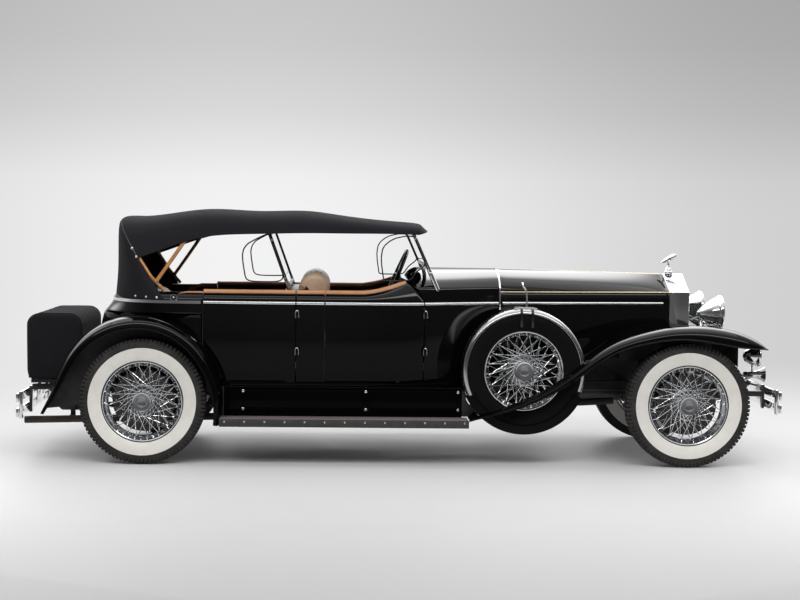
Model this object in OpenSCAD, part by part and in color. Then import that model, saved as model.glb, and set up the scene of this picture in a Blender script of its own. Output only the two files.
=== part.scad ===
// Four-door open touring car of the late 1920s with a raised cloth top.
// X runs forward, Y to the car's left and Z up. The origin is on the ground, under the
// middle of the bumpers.

/* [Overall] */
// Distance between the axles
wheelbase = 3645; // [3560:5:3720]
// Rear axle, behind the origin
rear_axle_back = 1724; // [1700:1:1750]
// Middle of a tyre's width, outside the body's side
track_out = 6; // [0:1:12]
// Gap round a panel that opens
panel_gap = 6; // [5:0.5:8]
// Gap between pieces that sit on each other
seat_gap = 0.3; // [0.2:0.05:0.5]
// Thickness of the wing and canopy sheets
sheet_t = 6; // [4:0.5:8]

/* [Wheels] */
// Outer radius of a tyre
tyre_r = 418; // [410:1:424]
// Width of a tyre
tyre_w = 168; // [150:1:180]
// Radius of the rim where the tyre sits
rim_r = 266; // [255:1:275]
// Number of wire spokes in each row
spokes_per_row = 18; // [12:2:20]
// Radius of a wire spoke
spoke_r = 2.6; // [2:0.1:3.2]
// Radius of a brake drum
drum_r = 205; // [190:1:215]
// Radius of a stub axle
stub_r = 22; // [18:0.5:26]
// Radius of a kingpin
kingpin_r = 16; // [14:0.5:18]
// Kingpin, inside the middle of the tyre
kingpin_inset = 110; // [106:1:114]
// Running clearance of pins and stub axles
run_fit = 0.05; // [0.02:0.01:0.08]

/* [Body] */
// Height of the body's lower edge
sill_z = 548; // [540:1:560]
// Height of the belt moulding
belt_z = 1076; // [1066:1:1084]
// Height of the door rail
rail_z = 1140; // [1132:1:1150]
// Half of the body's width at the doors
body_half_w = 714; // [700:1:722]
// Thickness of a door
door_t = 46; // [38:1:52]
// Height of the belt moulding's bead
bead_h = 20; // [14:1:26]
// How far the bead stands out
bead_out = 7; // [4:0.5:9]
// Front door's hinge line
front_hinge_x = 150; // [140:1:160]
// Front door's back edge
front_door_back_x = -525; // [-540:1:-510]
// Rear door's hinge line
rear_hinge_x = -712; // [-725:1:-700]
// Rear door's back edge
rear_door_back_x = -1338; // [-1350:1:-1325]
// Radius of a hinge pin's barrel
hinge_r = 8; // [6:0.5:10]
// Back of the bonnet
bonnet_back_x = 680; // [665:1:695]
// Height of the bonnet's top at its back
bonnet_top_z = 1302; // [1294:1:1310]
// Height of the radiator's peak
radiator_peak_z = 1277; // [1270:1:1284]
// Height of the bonnet's side hinge and of the radiator's shoulder
shoulder_z = 1156; // [1150:1:1162]
// Half of the radiator's width
radiator_half_w = 266; // [258:1:274]
// Back face of the radiator
radiator_back_x = 1884; // [1876:1:1892]
// Front face of the radiator
radiator_front_x = 2024; // [2016:1:2032]

/* [Chassis] */
// Lower face of the frame rails
frame_z = 430; // [425:1:435]
// Depth of a frame rail
frame_h = 115; // [105:1:115]
// Outer face of a frame rail, inside the body's side
frame_inset = 314; // [308:1:322]
// Width of a frame rail
frame_rail_w = 50; // [44:1:56]
// Top of the running board
board_z = 318; // [312:1:324]
// Thickness of the running board
board_t = 54; // [46:1:60]
// How far the wings and running boards stand out past the body's side
wing_out = 152; // [146:1:158]
// Panel behind the running boards, inside the body's side
apron_inset = 17; // [14:1:20]
// Radius of the rear wing's inner edge on the body side
arch_r = 548; // [546:1:556]

/* [Top and screens] */
// Height of the canopy's highest line
canopy_z = 1698; // [1690:1:1706]
// Side of the canopy, inside the body's side
canopy_inset = 74; // [66:1:82]
// Rake of the windscreens, from upright
screen_rake = 24; // [22:0.5:26]
// Inner face of a windscreen post, inside the body's side
screen_inset = 134; // [128:1:142]
// Side of a windscreen's square frame tube
screen_tube = 22; // [18:1:24]
// Radius of a canopy bow
bow_r = 13; // [10:0.5:15]

/* [Hidden] */
$fn = 48;
rear_x = -rear_axle_back;
front_x = rear_x + wheelbase;
axle_z = tyre_r;
half_track = body_half_w + track_out;
kingpin_y = half_track - kingpin_inset;
frame_half_w = body_half_w - frame_inset;
frame_top = frame_z + frame_h;
floor_t = 30;
floor_top = frame_top + floor_t + 2 * seat_gap;
wing_half_w = body_half_w + wing_out;
apron_y = body_half_w - apron_inset;
apron_t = 14;
board_back_x = -1212;
board_front_x = 442;
bead_lo = belt_z - bead_h / 2;
bead_hi = belt_z + bead_h / 2;
canopy_half_w = body_half_w - canopy_inset;
// The canopy's lowest line, just above the belt moulding
canopy_low = bead_hi + 6;
screen_half_w = body_half_w - screen_inset;

// Half of the body's width along the car: [x, half width].
plan = [
    [radiator_back_x, radiator_half_w + 6], [bonnet_back_x, body_half_w - 262], [560, body_half_w - 220],
    [420, body_half_w - 166], [280, body_half_w - 110], [front_hinge_x, body_half_w - 62],
    [0, body_half_w - 30], [-200, body_half_w - 10], [front_door_back_x, body_half_w],
    [-950, body_half_w], [rear_door_back_x, body_half_w - 14],
];
// A door's outer skin from its foot to the rail: [height, inset from the plan].
wall_rows = [
    [sill_z, 24], [sill_z + 150, 10], [belt_z - 190, 2], [bead_lo - 4, 0], [bead_lo, -bead_out],
    [bead_hi, -bead_out], [bead_hi + 4, 3], [rail_z - 18, 22], [rail_z, 48],
];
function half_w(x) = lookup(x, plan);
function mix(a, b, t) = a + (b - a) * t;
function bent(v, n) = sign(v) * pow(abs(v), 2 / n);

// A sheet between two grids of points, closed round its four edges.
module thick_patch(outer, inner) {
    rows = len(outer);
    cols = len(outer[0]);
    o = function(i, j) i * cols + j;
    q = function(i, j) rows * cols + i * cols + j;
    points = concat([for (r = outer) each r], [for (r = inner) each r]);
    faces = concat(
        [for (i = [0:rows - 2], j = [0:cols - 2])
            each [[o(i, j), o(i, j + 1), o(i + 1, j + 1)], [o(i, j), o(i + 1, j + 1), o(i + 1, j)]]],
        [for (i = [0:rows - 2], j = [0:cols - 2])
            each [[q(i, j), q(i + 1, j + 1), q(i, j + 1)], [q(i, j), q(i + 1, j), q(i + 1, j + 1)]]],
        [for (i = [0:rows - 2])
            each [[o(i, 0), o(i + 1, 0), q(i + 1, 0)], [o(i, 0), q(i + 1, 0), q(i, 0)]]],
        [for (i = [0:rows - 2])
            each [[o(i, cols - 1), q(i, cols - 1), q(i + 1, cols - 1)],
                  [o(i, cols - 1), q(i + 1, cols - 1), o(i + 1, cols - 1)]]],
        [for (j = [0:cols - 2])
            each [[o(0, j), q(0, j), q(0, j + 1)], [o(0, j), q(0, j + 1), o(0, j + 1)]]],
        [for (j = [0:cols - 2])
            each [[o(rows - 1, j), o(rows - 1, j + 1), q(rows - 1, j + 1)],
                  [o(rows - 1, j), q(rows - 1, j + 1), q(rows - 1, j)]]]
    );
    polyhedron(points, faces);
}

// A round bar from one point to another.
module rod(a, b, r) {
    d = b - a;
    translate(a)
        rotate([0, acos(d[2] / norm(d)), atan2(d[1], d[0])])
            cylinder(r = r, h = norm(d));
}

// A block given by its two far corners.
module block(lo, hi) {
    translate(lo)
        cube(hi - lo);
}

// What is drawn on the right, on both sides.
module pair() {
    children();
    mirror([0, 1, 0])
        children();
}

// A side profile in x and z, given a width across the car about y.
module across(y, w) {
    translate([0, y + w / 2, 0])
        rotate([90, 0, 0])
            linear_extrude(w)
                children();
}

// Chassis

module chassis_rails() {
    color("#1a1a1c")
        pair()
            difference() {
                across(-frame_half_w + frame_rail_w / 2, frame_rail_w)
                    polygon([
                        [-2400, 440], [-1980, 440], [-1930, 488], [-1520, 488], [-1450, frame_z],
                        [front_x + 330, frame_z], [2380, 440], [2395, 462], [2380, 484],
                        [front_x + 200, frame_top], [-2060, frame_top], [-2100, 500], [-2400, 500],
                    ]);
                // Towing eye through the dumb iron
                translate([2362, 0, 462])
                    rotate([90, 0, 0])
                        cylinder(r = 11, h = frame_half_w + 100);
            }
}

crossmember_xs = [-2330, -1300, -700, 100, 2250];

module chassis_crossmembers() {
    inner = frame_half_w - frame_rail_w - seat_gap;
    low = function(x) x < -2100 ? 452 : 494;
    high = function(x) x < -2100 ? 496 : x > 2000 ? 520 : 540;
    color("#1a1a1c") {
        for (x = crossmember_xs)
            block([x - 35, -inner, low(x)], [x + 35, inner, high(x)]);
        // Brackets of the running boards
        pair()
            for (x = [-900, -250, 330])
                block([x - 25, -apron_y + apron_t + seat_gap, frame_z + 6],
                    [x + 25, -frame_half_w - seat_gap, frame_z + 56]);
    }
}

module leaf_pack(leaves, t, w) {
    for (i = [0:len(leaves) - 1])
        block([-leaves[i], -w / 2, -(i + 1) * t], [leaves[i], w / 2, -i * t]);
}

module springs() {
    eye_r = 14;
    color("#2a2a2d")
        pair() {
            // Front springs, between the frame and the axle beam
            translate([front_x, -frame_half_w + frame_rail_w / 2, frame_z - 5]) {
                leaf_pack([370, 270, 180, 90], 9.9, 46);
                for (s = [-1, 1])
                    translate([s * 370, 0, -eye_r + 5 - seat_gap])
                        rotate([90, 0, 0])
                            cylinder(r = eye_r, h = 46, center = true);
            }
            // Rear springs, hung beside the frame and under the axle tube
            translate([rear_x, -frame_half_w - 40, axle_z - 45 - seat_gap]) {
                leaf_pack([430, 320, 210], 14, 56);
                for (s = [-1, 1]) {
                    translate([s * 430, 0, -7])
                        rotate([90, 0, 0])
                            cylinder(r = 16, h = 56, center = true);
                    block([s * 430 - 12, -12, -7], [s * 430 + 12, 12, 100]);
                    block([s * 430 - 22, -12, 78], [s * 430 + 22, 40 - seat_gap, 112]);
                }
            }
        }
}

module front_axle() {
    color("#1a1a1c") {
        translate([front_x - 28, 0, 0])
            rotate([90, 0, 90])
                linear_extrude(56)
                    polygon([
                        [-kingpin_y + 20, axle_z - 30], [-kingpin_y + 70, axle_z - 83],
                        [kingpin_y - 70, axle_z - 83], [kingpin_y - 20, axle_z - 30],
                        [kingpin_y - 20, axle_z + 24],
                        [kingpin_y - 90, axle_z - 33 - seat_gap], [-kingpin_y + 90, axle_z - 33 - seat_gap],
                        [-kingpin_y + 20, axle_z + 24],
                    ]);
        pair()
            translate([front_x, -kingpin_y, axle_z]) {
                cylinder(r = 34, h = 90, center = true);
                cylinder(r = kingpin_r, h = 176, center = true);
            }
    }
}

module rear_axle() {
    tube_r = 45;
    end_y = half_track - 52;
    color("#1a1a1c")
        translate([rear_x, 0, axle_z]) {
            sphere(r = 120);
            rotate([90, 0, 0])
                cylinder(r = tube_r, h = 2 * end_y, center = true);
            rotate([90, 0, 0])
                cylinder(r = stub_r, h = 2 * (half_track + 60), center = true);
            pair()
                translate([0, -end_y, 0])
                    rotate([-90, 0, 0])
                        cylinder(r = drum_r - 19, h = 6);
            // Tube of the propeller shaft
            rotate([0, 90, 0])
                cylinder(r = 44, h = 230 - rear_x - seat_gap);
        }
}

module engine() {
    color("#55585c") {
        block([bonnet_back_x + 120, -165, 500], [1690, 165, 1040]);
        block([230, -120, 380], [760, 120, frame_top - 10]);
        block([740, -120, 380], [1690, 120, 505]);
        // Mounts on the frame
        pair()
            for (x = [900, 1560])
                block([x - 40, -frame_half_w + frame_rail_w + seat_gap, 500], [x + 40, -160, 530]);
        pair()
            block([560, -frame_half_w + frame_rail_w + seat_gap, 450], [620, -110, 480]);
    }
}

module exhaust() {
    silencer = [[-188, -frame_half_w - 108, 316], [-952, -frame_half_w - 118, 299]];
    tail = [-2540, -frame_half_w - 140, 262];
    color("#7c7f84") {
        rod([1500, -frame_half_w + 150, 390], mix(silencer[0], silencer[1], 0.2), 24);
        rod(silencer[0], silencer[1], 72);
        rod(mix(silencer[0], silencer[1], 0.8), tail, 24);
        // Hanger to the frame
        block([-2250, -frame_half_w - 141, 262], [-2220, -frame_half_w - seat_gap, 288]);
        block([-2250, -frame_half_w - 30, 262], [-2220, -frame_half_w - seat_gap, 490]);
    }
}

module fuel_tank() {
    color("#202124")
        across(0, 2 * (frame_half_w - 20))
            polygon([
                [-2340, 330], [-2320, 310], [-2110, 310], [-2090, 330], [-2090, 420], [-2110, 440 - seat_gap],
                [-2320, 440 - seat_gap], [-2340, 420],
            ]);
}

// Body

module floor() {
    tail_w = body_half_w - 224;
    foot_w = half_w(640) - 80;
    inner_w = body_half_w - 169;
    color("#2b2622") {
        translate([0, 0, frame_top + seat_gap])
            linear_extrude(floor_t)
                polygon([
                    [-1700, -tail_w], [-1500, -inner_w + 7], [140, -inner_w], [400, -half_w(400) + 96],
                    [640, -foot_w], [640, foot_w], [400, half_w(400) - 96], [140, inner_w],
                    [-1500, inner_w - 7], [-1700, tail_w],
                ]);
        // Sills under the doors and the cowl
        pair()
            translate([0, 0, sill_z - 32])
                linear_extrude(32 - seat_gap)
                    polygon([
                        [-1560, -body_half_w + 184], [-1560, -body_half_w + 124],
                        [-1200, -body_half_w + 124], [-1200, -body_half_w + 28], [-300, -body_half_w + 32],
                        [front_hinge_x - 10, -half_w(140) + 30], [280, -half_w(280) + 28],
                        [420, -half_w(420) + 28], [560, -half_w(560) + 28], [600, -half_w(600) + 34],
                        [600, -half_w(600) + 78], [400, -half_w(400) + 110], [140, -half_w(140) + 119],
                    ]);
    }
}

// Edge of the rear door and of the tub behind it: straight above, round the wing below.
function rear_edge(z) =
    max(rear_door_back_x, rear_x + sqrt(max(0, pow(arch_r + 4, 2) - pow(z - axle_z, 2))));
// The rail's rise towards the windscreen.
function rail_rise(x) = 135 * pow(max(0, x + 280) / 430, 1.7);

module side_panel(x_back, x_front, foot_z, cols, bevel, slant) {
    rows = len(wall_rows);
    row_z = function(r) r == 0 ? foot_z : wall_rows[r][0];
    above = function(z) max(0, z - bead_hi - 4);
    span = rail_z - bead_hi - 4;
    grid = function(inner) [for (r = [0:rows - 1]) [for (c = [cols:-1:0])
        let (
            z0 = row_z(r),
            xb = x_back(z0) + (inner ? bevel : 0),
            lift0 = above(z0) / span,
            x1 = x_front - slant * lift0,
            x = mix(xb, x1, c / cols),
            rise = rail_rise(x) * (slant > 0 ? 1 : 0) * lift0,
            inset = wall_rows[r][1] + lift0 * rail_rise(x) * (slant > 0 ? 0.36 : 0),
            t = inner ? mix(door_t, 32, lift0) + (r == 4 || r == 5 ? bead_out : 0) : 0
        )
        [x, -(half_w(x) - inset - t), z0 + rise]]];
    thick_patch(grid(false), grid(true));
}

module door_front() {
    back = front_door_back_x + panel_gap;
    side_panel(function(z) back, front_hinge_x - panel_gap, sill_z + panel_gap, 6, 8, 118);
}

module door_rear() {
    side_panel(function(z) rear_edge(z) + panel_gap, rear_hinge_x - panel_gap, sill_z + panel_gap, 4, 8, 0);
}

module door_front_right() {
    color("#0c0c0e")
        door_front();
}
module door_front_left() {
    color("#0c0c0e")
        mirror([0, 1, 0])
            door_front();
}
module door_rear_right() {
    color("#0c0c0e")
        door_rear();
}
module door_rear_left() {
    color("#0c0c0e")
        mirror([0, 1, 0])
            door_rear();
}

module door_posts() {
    color("#0c0c0e")
        pair()
            side_panel(function(z) rear_hinge_x, front_door_back_x, sill_z, 2, 0, 0);
}

hinge_zs = [755, 1004];
function hinge_y(x) = half_w(x - panel_gap) + hinge_r - 0.2;

module door_hinges() {
    color("#b9bcc0")
        pair()
            for (x = [front_hinge_x, rear_hinge_x], z = hinge_zs) {
                translate([x - panel_gap / 2, -hinge_y(x), z - 28])
                    cylinder(r = hinge_r, h = 56);
                block([x - panel_gap / 2, -hinge_y(x) - 3, z - 20], [x + 26, -half_w(x) + 14, z + 20]);
            }
}

// The cowl's and bonnet's cross-section: column of the side wall, or angle over the top.
top_angles = [4, 14, 28, 44, 60, 75, 90];
function top_z(x) = x > bonnet_back_x
    ? mix(bonnet_top_z, radiator_peak_z, (x - bonnet_back_x) / (radiator_back_x - bonnet_back_x))
    : bonnet_top_z + (bonnet_back_x - x) * 0.006;
// How far the section has gone from a round top to the radiator's two straight slopes.
function peak_part(x) = pow(max(0, (x - bonnet_back_x) / (radiator_back_x - bonnet_back_x)), 1.3);
function top_point(x, a, t) =
    let (w = half_w(x) - 20 - t, lo = shoulder_z - t / 2, h = top_z(x) - t - lo, p = peak_part(x))
    [x, -w * mix(cos(a), 1 - a / 90, p), lo + h * mix(sin(a), a / 90, p)];

module cowl() {
    wall_t = 26;
    cols = 7;
    stations = 7;
    back = concat([for (r = [0:6]) front_hinge_x], [101, 78, 56, 74, 98, 122, 130]);
    point = function(i, j, t) let (
            x = mix(back[j] + (t > 0 && j >= cols ? 26 : 0), bonnet_back_x - seat_gap, i / stations))
        j < cols
            ? let (out = (t > 0 && (j == 4 || j == 5)) ? bead_out : 0)
              [x, -(half_w(x) - wall_rows[j][1] - t - out), wall_rows[j][0]]
            : top_point(x, top_angles[j - cols], t);
    half = function(i, t) [for (j = [0:cols + len(top_angles) - 1]) point(i, j, t)];
    full = function(i, t) let (h = half(i, t), n = len(h))
        concat(h, [for (j = [n - 2:-1:0]) [h[j][0], -h[j][1], h[j][2]]]);
    color("#0c0c0e")
        thick_patch([for (i = [0:stations]) full(i, 0)], [for (i = [0:stations]) full(i, wall_t)]);
}

column_top = [-17, body_half_w - 384, 1214];
column_dir = [0.918, 0, -0.397] / norm([0.918, 0, -0.397]);

module bulkhead_plate(x, t, foot_z, cut) {
    edge = concat(
        [for (r = [0:6]) if (wall_rows[r][0] > foot_z + 5)
            [half_w(x + t) - max(wall_rows[r][1], 0) - 26 - cut, wall_rows[r][0]]],
        [for (a = top_angles) let (p = top_point(x + t, a, 26 + cut)) [-p[1], p[2]]]);
    all = concat([[edge[0][0], foot_z]], edge, [for (j = [len(edge) - 2:-1:0]) [-edge[j][0], edge[j][1]]],
        [[-edge[0][0], foot_z]]);
    translate([x, 0, 0])
        rotate([90, 0, 90])
            linear_extrude(t)
                polygon(all);
}

module bulkheads() {
    color("#3a2417") {
        difference() {
            bulkhead_plate(190, 18, 985, 0.8);
            rod(column_top, column_top + column_dir * 400, 26);
        }
        bulkhead_plate(652, 18, frame_top + 32, 0.8);
    }
}

module tub_rear() {
    wall_t = 40;
    shape = 2.7;
    // [height, half width, rearmost point, lift of the inner skin]
    rows = [
        [sill_z, body_half_w - 116, -2058, 0], [690, body_half_w - 110, -2078, 0],
        [850, body_half_w - 108, -2090, 0], [986, body_half_w - 108, -2062, 30],
        [998, body_half_w - 15, -2050, 30], [bead_lo - 4, body_half_w - 14, -2002, 0],
        [bead_lo, body_half_w - 14 + bead_out, -2002 - bead_out, 0],
        [bead_hi, body_half_w - 14 + bead_out, -1998 - bead_out, 0],
        [bead_hi + 4, body_half_w - 17, -1994, 0], [rail_z - 18, body_half_w - 36, -1974, 0],
        [rail_z, body_half_w - 62, -1952, 0],
    ];
    point = function(r, a, t) let (x0 = rear_edge(r[0]), w = r[1] - t, l = x0 - r[2] - t)
        [x0 - l * bent(sin(a), shape), -w * bent(cos(a), shape), r[0] + (t > 0 ? r[3] : 0)];
    angles = [for (a = [0:9:180]) a];
    color("#0c0c0e")
        thick_patch([for (r = rows) [for (a = angles) point(r, a, 0)]],
            [for (r = rows) [for (a = angles) point(r, a, wall_t)]]);
}

partition_x = -700;
partition_t = 32;
ledge_z = rail_z + 8;

module partition() {
    front = partition_x + partition_t;
    color("#3a2417") {
        block([partition_x, -body_half_w + 114, floor_top], [front, body_half_w - 114, ledge_z - 28]);
        block([partition_x - 100, -body_half_w + 124, ledge_z - 29], [front, body_half_w - 124, ledge_z]);
    }
}

module bonnet() {
    front = radiator_back_x - seat_gap;
    back = bonnet_back_x + seat_gap;
    stations = 6;
    top_t = 12;
    side_t = 18;
    angles = [5, 16, 30, 46, 62, 76, 87];
    side_rows = [[700, 6], [900, 0], [bead_lo - 3, 0], [bead_lo, -bead_out], [bead_hi, -bead_out],
        [bead_hi + 3, 2], [shoulder_z - 12, 17]];
    xs = [for (i = [0:stations]) mix(back, front, i / stations)];
    color("#0c0c0e") {
        pair()
            thick_patch([for (x = xs) [for (a = angles) top_point(x, a, 0)]],
                [for (x = xs) [for (a = angles) top_point(x, a, top_t)]]);
        pair()
            thick_patch(
                [for (x = xs) [for (r = side_rows) [x, -(half_w(x) - r[1]), r[0]]]],
                [for (x = xs) [for (r = side_rows)
                    [x, -(half_w(x) - max(r[1], 0) - side_t), r[0]]]]);
    }
    // Hinge rods along the middle and the shoulders
    color("#b08d57") {
        rod([back, 0, top_z(back) - 7], [front - 0.5, 0, top_z(front) - 7], 6);
        pair()
            rod([back + 1, -half_w(back) + 23, shoulder_z - 3],
                [front - 1, -half_w(front) + 23, shoulder_z - 3], 5.5);
    }
}

radiator_foot_z = 640;

module radiator_outline(cut) {
    polygon([
        [-radiator_half_w + cut, radiator_foot_z + cut], [radiator_half_w - cut, radiator_foot_z + cut],
        [radiator_half_w - cut, shoulder_z - cut * 0.6], [0, radiator_peak_z - cut * 1.3],
        [-radiator_half_w + cut, shoulder_z - cut * 0.6],
    ]);
}

module radiator_shell() {
    depth = radiator_front_x - radiator_back_x;
    color("#c9ccd1") {
        difference() {
            translate([radiator_back_x, 0, 0])
                rotate([90, 0, 90])
                    linear_extrude(depth)
                        radiator_outline(0);
            translate([radiator_front_x - 80, 0, 0])
                rotate([90, 0, 90])
                    linear_extrude(100)
                        radiator_outline(30);
        }
        // Feet on the frame
        pair()
            block([radiator_back_x + 20, -frame_half_w + 2, frame_top + seat_gap],
                [radiator_front_x - 20, -radiator_half_w + 66, radiator_foot_z + 5]);
    }
}

module radiator_shutters() {
    count = 11;
    wall = 30;
    inner = radiator_half_w - wall;
    pitch = inner / count;
    peak = radiator_peak_z - 1.3 * wall;
    slope = (peak - shoulder_z + 0.6 * wall) / inner;
    color("#8f9398")
        pair()
            for (i = [0:count - 1]) {
                y = pitch * (i + 0.5);
                top = peak - slope * (y + pitch * 0.36) - 1;
                block([radiator_front_x - 80 + seat_gap, -y - pitch * 0.34, radiator_foot_z + wall + 1],
                    [radiator_front_x - 26, -y + pitch * 0.34, top]);
            }
}

module radiator_cap() {
    x = (radiator_back_x + radiator_front_x) / 2 - 30;
    z = radiator_peak_z + seat_gap;
    color("#c9ccd1")
        translate([x, 0, z]) {
            rotate_extrude()
                polygon([
                    [0, 0], [30, 0], [30, 14], [22, 18], [22, 34], [14, 44], [7, 60], [7, 104], [0, 104],
                ]);
            // Plain streamlined drop, swept back
            translate([0, 0, 104])
                rotate([0, 62, 0])
                    translate([0, 0, -70])
                        rotate_extrude()
                            polygon([
                                [0, 0], [5, 10], [12, 40], [18, 80], [19, 100], [16, 118], [9, 130], [0, 135],
                            ]);
        }
}

// Wings, running boards and spare wheels

spare_x = 814;
spare_y = body_half_w - 24;
spare_z = 640;
well_t = 6;

// Front wing: [x, inner z, inner edge's share of the way to the crown, crown z, crown outside the
// tyre's middle, lip z, lip inside the wings' outer edge]
front_wing = [
    [2448, 800, 0.78, 806, -20, 800, 76], [2420, 810, 0.722, 832, -15, 806, 38],
    [2360, 826, 0.638, 872, -8, 810, 14],
    [2250, 852, 0.512, 916, -2, 818, 0], [2120, 880, 0.346, 942, 0, 838, 0],
    [2000, 915, 0.159, 952, 0, 858, 0],
    [1880, 948, 0, 950, 0, 868, 0], [1760, 952, 0.03, 938, 0, 862, 0], [1620, 925, 0.08, 908, 0, 838, 0],
    [1480, 850, 0.13, 866, 2, 800, 0], [1340, 750, 0.18, 800, 4, 730, 0], [1200, 668, 0.229, 700, 8, 630, 0],
    [1060, 606, 0.273, 594, 12, 536, 0], [920, 560, 0.32, 508, 16, 462, 0], [780, 520, 0.364, 440, 22, 404, 0],
    [640, 470, 0.522, 384, 28, 362, 0], [540, 400, 0.728, 350, 36, 338, 0],
    [board_front_x, board_z + 1, 0.852, board_z + 6, 50, board_z - 6, 0],
];

// Rear wing round the axle: [angle, lip radius, crown height]
rear_wing = [
    [-17, 500, 26], [-6, 484, 38], [8, 474, 50], [22, 464, 60], [36, 460, 68], [50, 466, 72], [64, 476, 72],
    [78, 486, 72], [92, 493, 72], [106, 499, 72], [120, 505, 70], [134, 510, 66], [148, 514, 60],
    [160, 522, 52], [170, 545, 42], [179, 585, 32], [187, 645, 22],
];

module wing_front() {
    section = function(s, d) let (
            x = s[0], zi = s[1], zc = s[3], zl = s[5], yc = half_track + s[4], yl = wing_half_w - s[6],
            yi = mix(radiator_half_w + 26, yc, s[2]))
        concat(
            [for (k = [0:4]) let (t = k / 5, b = (1 - cos(180 * t)) / 2)
                [x, -mix(yi, yc, t), mix(zi, zc, b) - d]],
            [for (a = [90, 70, 50, 30, 12, 0])
                [x, -(yc + (yl - (a < 60 ? d : 0) - yc) * cos(a)), zl + (zc - d - zl) * sin(a)]]
        );
    difference() {
        thick_patch([for (s = front_wing) section(s, 0)], [for (s = front_wing) section(s, sheet_t)]);
        // Slot for the spare wheel
        translate([spare_x, -spare_y, spare_z])
            rotate([90, 0, 0])
                cylinder(r = tyre_r + well_t + 2 * seat_gap, h = tyre_w + 32, center = true);
    }
}

module wings_front() {
    color("#0c0c0e")
        pair()
            wing_front();
}

module wing_rear() {
    inner_y = body_half_w - 106;
    // Share of the way across and of the crown height
    shape = [[0, 0.94], [0.22, 1], [0.44, 0.98], [0.62, 0.88], [0.78, 0.69], [0.91, 0.38], [1, 0]];
    point = function(s, c, d) let (
            r = s[1] + s[2] * c[1] - (c[0] < 0.95 ? d : 0),
            y = mix(inner_y, wing_half_w - (c[0] > 0.8 ? d : 0), c[0]))
        [rear_x + r * cos(s[0]), -y, axle_z + r * sin(s[0])];
    thick_patch([for (s = rear_wing) [for (c = shape) point(s, c, 0)]],
        [for (s = rear_wing) [for (c = shape) point(s, c, sheet_t)]]);
}

module wings_rear() {
    color("#0c0c0e")
        pair()
            wing_rear();
}

module spare_wells() {
    r = tyre_r + seat_gap;
    w = tyre_w / 2 + 9;
    color("#0c0c0e")
        pair()
            translate([spare_x, -spare_y, spare_z])
                rotate([90, 0, 0])
                    rotate([0, 0, 205])
                        rotate_extrude(angle = 130)
                            polygon([
                                [r, -w], [r + well_t, -w], [r + well_t, w], [r, w], [r - 50, w], [r - 50, w - 5],
                                [r, w - 5], [r, -w + 5], [r - 50, -w + 5], [r - 50, -w],
                            ]);
}

module running_boards() {
    front = board_front_x - seat_gap;
    color("#2d2320")
        pair()
            across(-(wing_half_w + apron_y) / 2, wing_half_w - apron_y)
                polygon([
                    [board_back_x, board_z - board_t], [front, board_z - board_t],
                    [front, board_z - 6 - seat_gap], [front - 6, board_z], [board_back_x, board_z],
                ]);
}

module side_aprons() {
    color("#101012")
        pair() {
            block([board_back_x + 22, -apron_y + seat_gap, board_z - 30],
                [board_front_x - 38, -apron_y + apron_t, sill_z - 32 - seat_gap]);
            // Covers of the battery and tool boxes
            for (x = [[-1060, -270], [-210, 370]])
                block([x[0], -apron_y - 6, board_z + 34], [x[1], -apron_y + 1, sill_z - 58]);
        }
}

module spare_tyres() {
    color("#17171a")
        pair()
            translate([spare_x, -spare_y, spare_z])
                rotate([90, 0, 0])
                    tyre_ring();
}

module spare_wheels() {
    color("#c9ccd1")
        pair()
            translate([spare_x, -spare_y, spare_z])
                rotate([90, 0, 0])
                    wire_wheel(false);
}

// Lamps and bumpers

headlamp_y = frame_half_w - 82;
headlamp_z = 1010;
headlamp_front_x = 2236;
lamp_bar_x = 2105;

module lamp_bar() {
    x = lamp_bar_x;
    z = 862;
    color("#c9ccd1") {
        rod([x, -frame_half_w - 70, z], [x, frame_half_w + 70, z], 14);
        pair() {
            rod([x, -frame_half_w + 25, frame_top + seat_gap], [x, -frame_half_w + 25, z], 13);
            rod([x, -headlamp_y, z], [x, -headlamp_y, headlamp_z - 48], 16);
        }
    }
}

module headlamps() {
    // [distance behind the rim, radius]
    shape = [
        [0, 126], [-6, 132], [-22, 132], [-28, 124], [-70, 100], [-120, 64], [-152, 36], [-168, 18], [-172, 0],
    ];
    color("#d5d7da")
        pair()
            difference() {
                translate([headlamp_front_x, -headlamp_y, headlamp_z])
                    rotate([0, 90, 0])
                        rotate_extrude()
                            polygon(concat([for (p = shape) [p[1], p[0]]],
                                [[0, -150], [20, -144], [56, -108], [92, -60], [116, -24], [118, 0]]));
                rod([lamp_bar_x, -headlamp_y, headlamp_z - 140],
                    [lamp_bar_x, -headlamp_y, headlamp_z - 48 + seat_gap], 16 + seat_gap);
            }
}

driving_lamp_y = frame_half_w + 160;
driving_lamp_z = 738;

module driving_lamps() {
    color("#d5d7da")
        pair() {
            translate([2452, -driving_lamp_y, driving_lamp_z])
                rotate([0, 90, 0])
                    difference() {
                        rotate_extrude()
                            polygon([[68, 0], [74, -4], [74, -18], [68, -22], [56, -70], [34, -104], [0, -118],
                                [0, -100], [28, -88], [48, -60], [60, -18], [62, 0]]);
                        translate([300, 0, -50])
                            rotate([0, -90, 0])
                                cylinder(r = 9, h = 238);
                    }
            // Arm on the frame, and the horn under the lamp
            rod([2402, -driving_lamp_y, driving_lamp_z - 62 - seat_gap], [2402, -driving_lamp_y, 600], 9);
            rod([2402, -driving_lamp_y, 604], [2300, -frame_half_w - 14, 500], 11);
            block([2270, -frame_half_w - 24, 486], [2330, -frame_half_w - seat_gap, 516]);
            translate([2402, -driving_lamp_y, 612])
                rotate([0, 90, 0])
                    rotate_extrude()
                        polygon([
                            [0, -60], [22, -60], [22, 20], [36, 60], [52, 84], [46, 84], [24, 50], [0, 40],
                        ]);
        }
}

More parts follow.
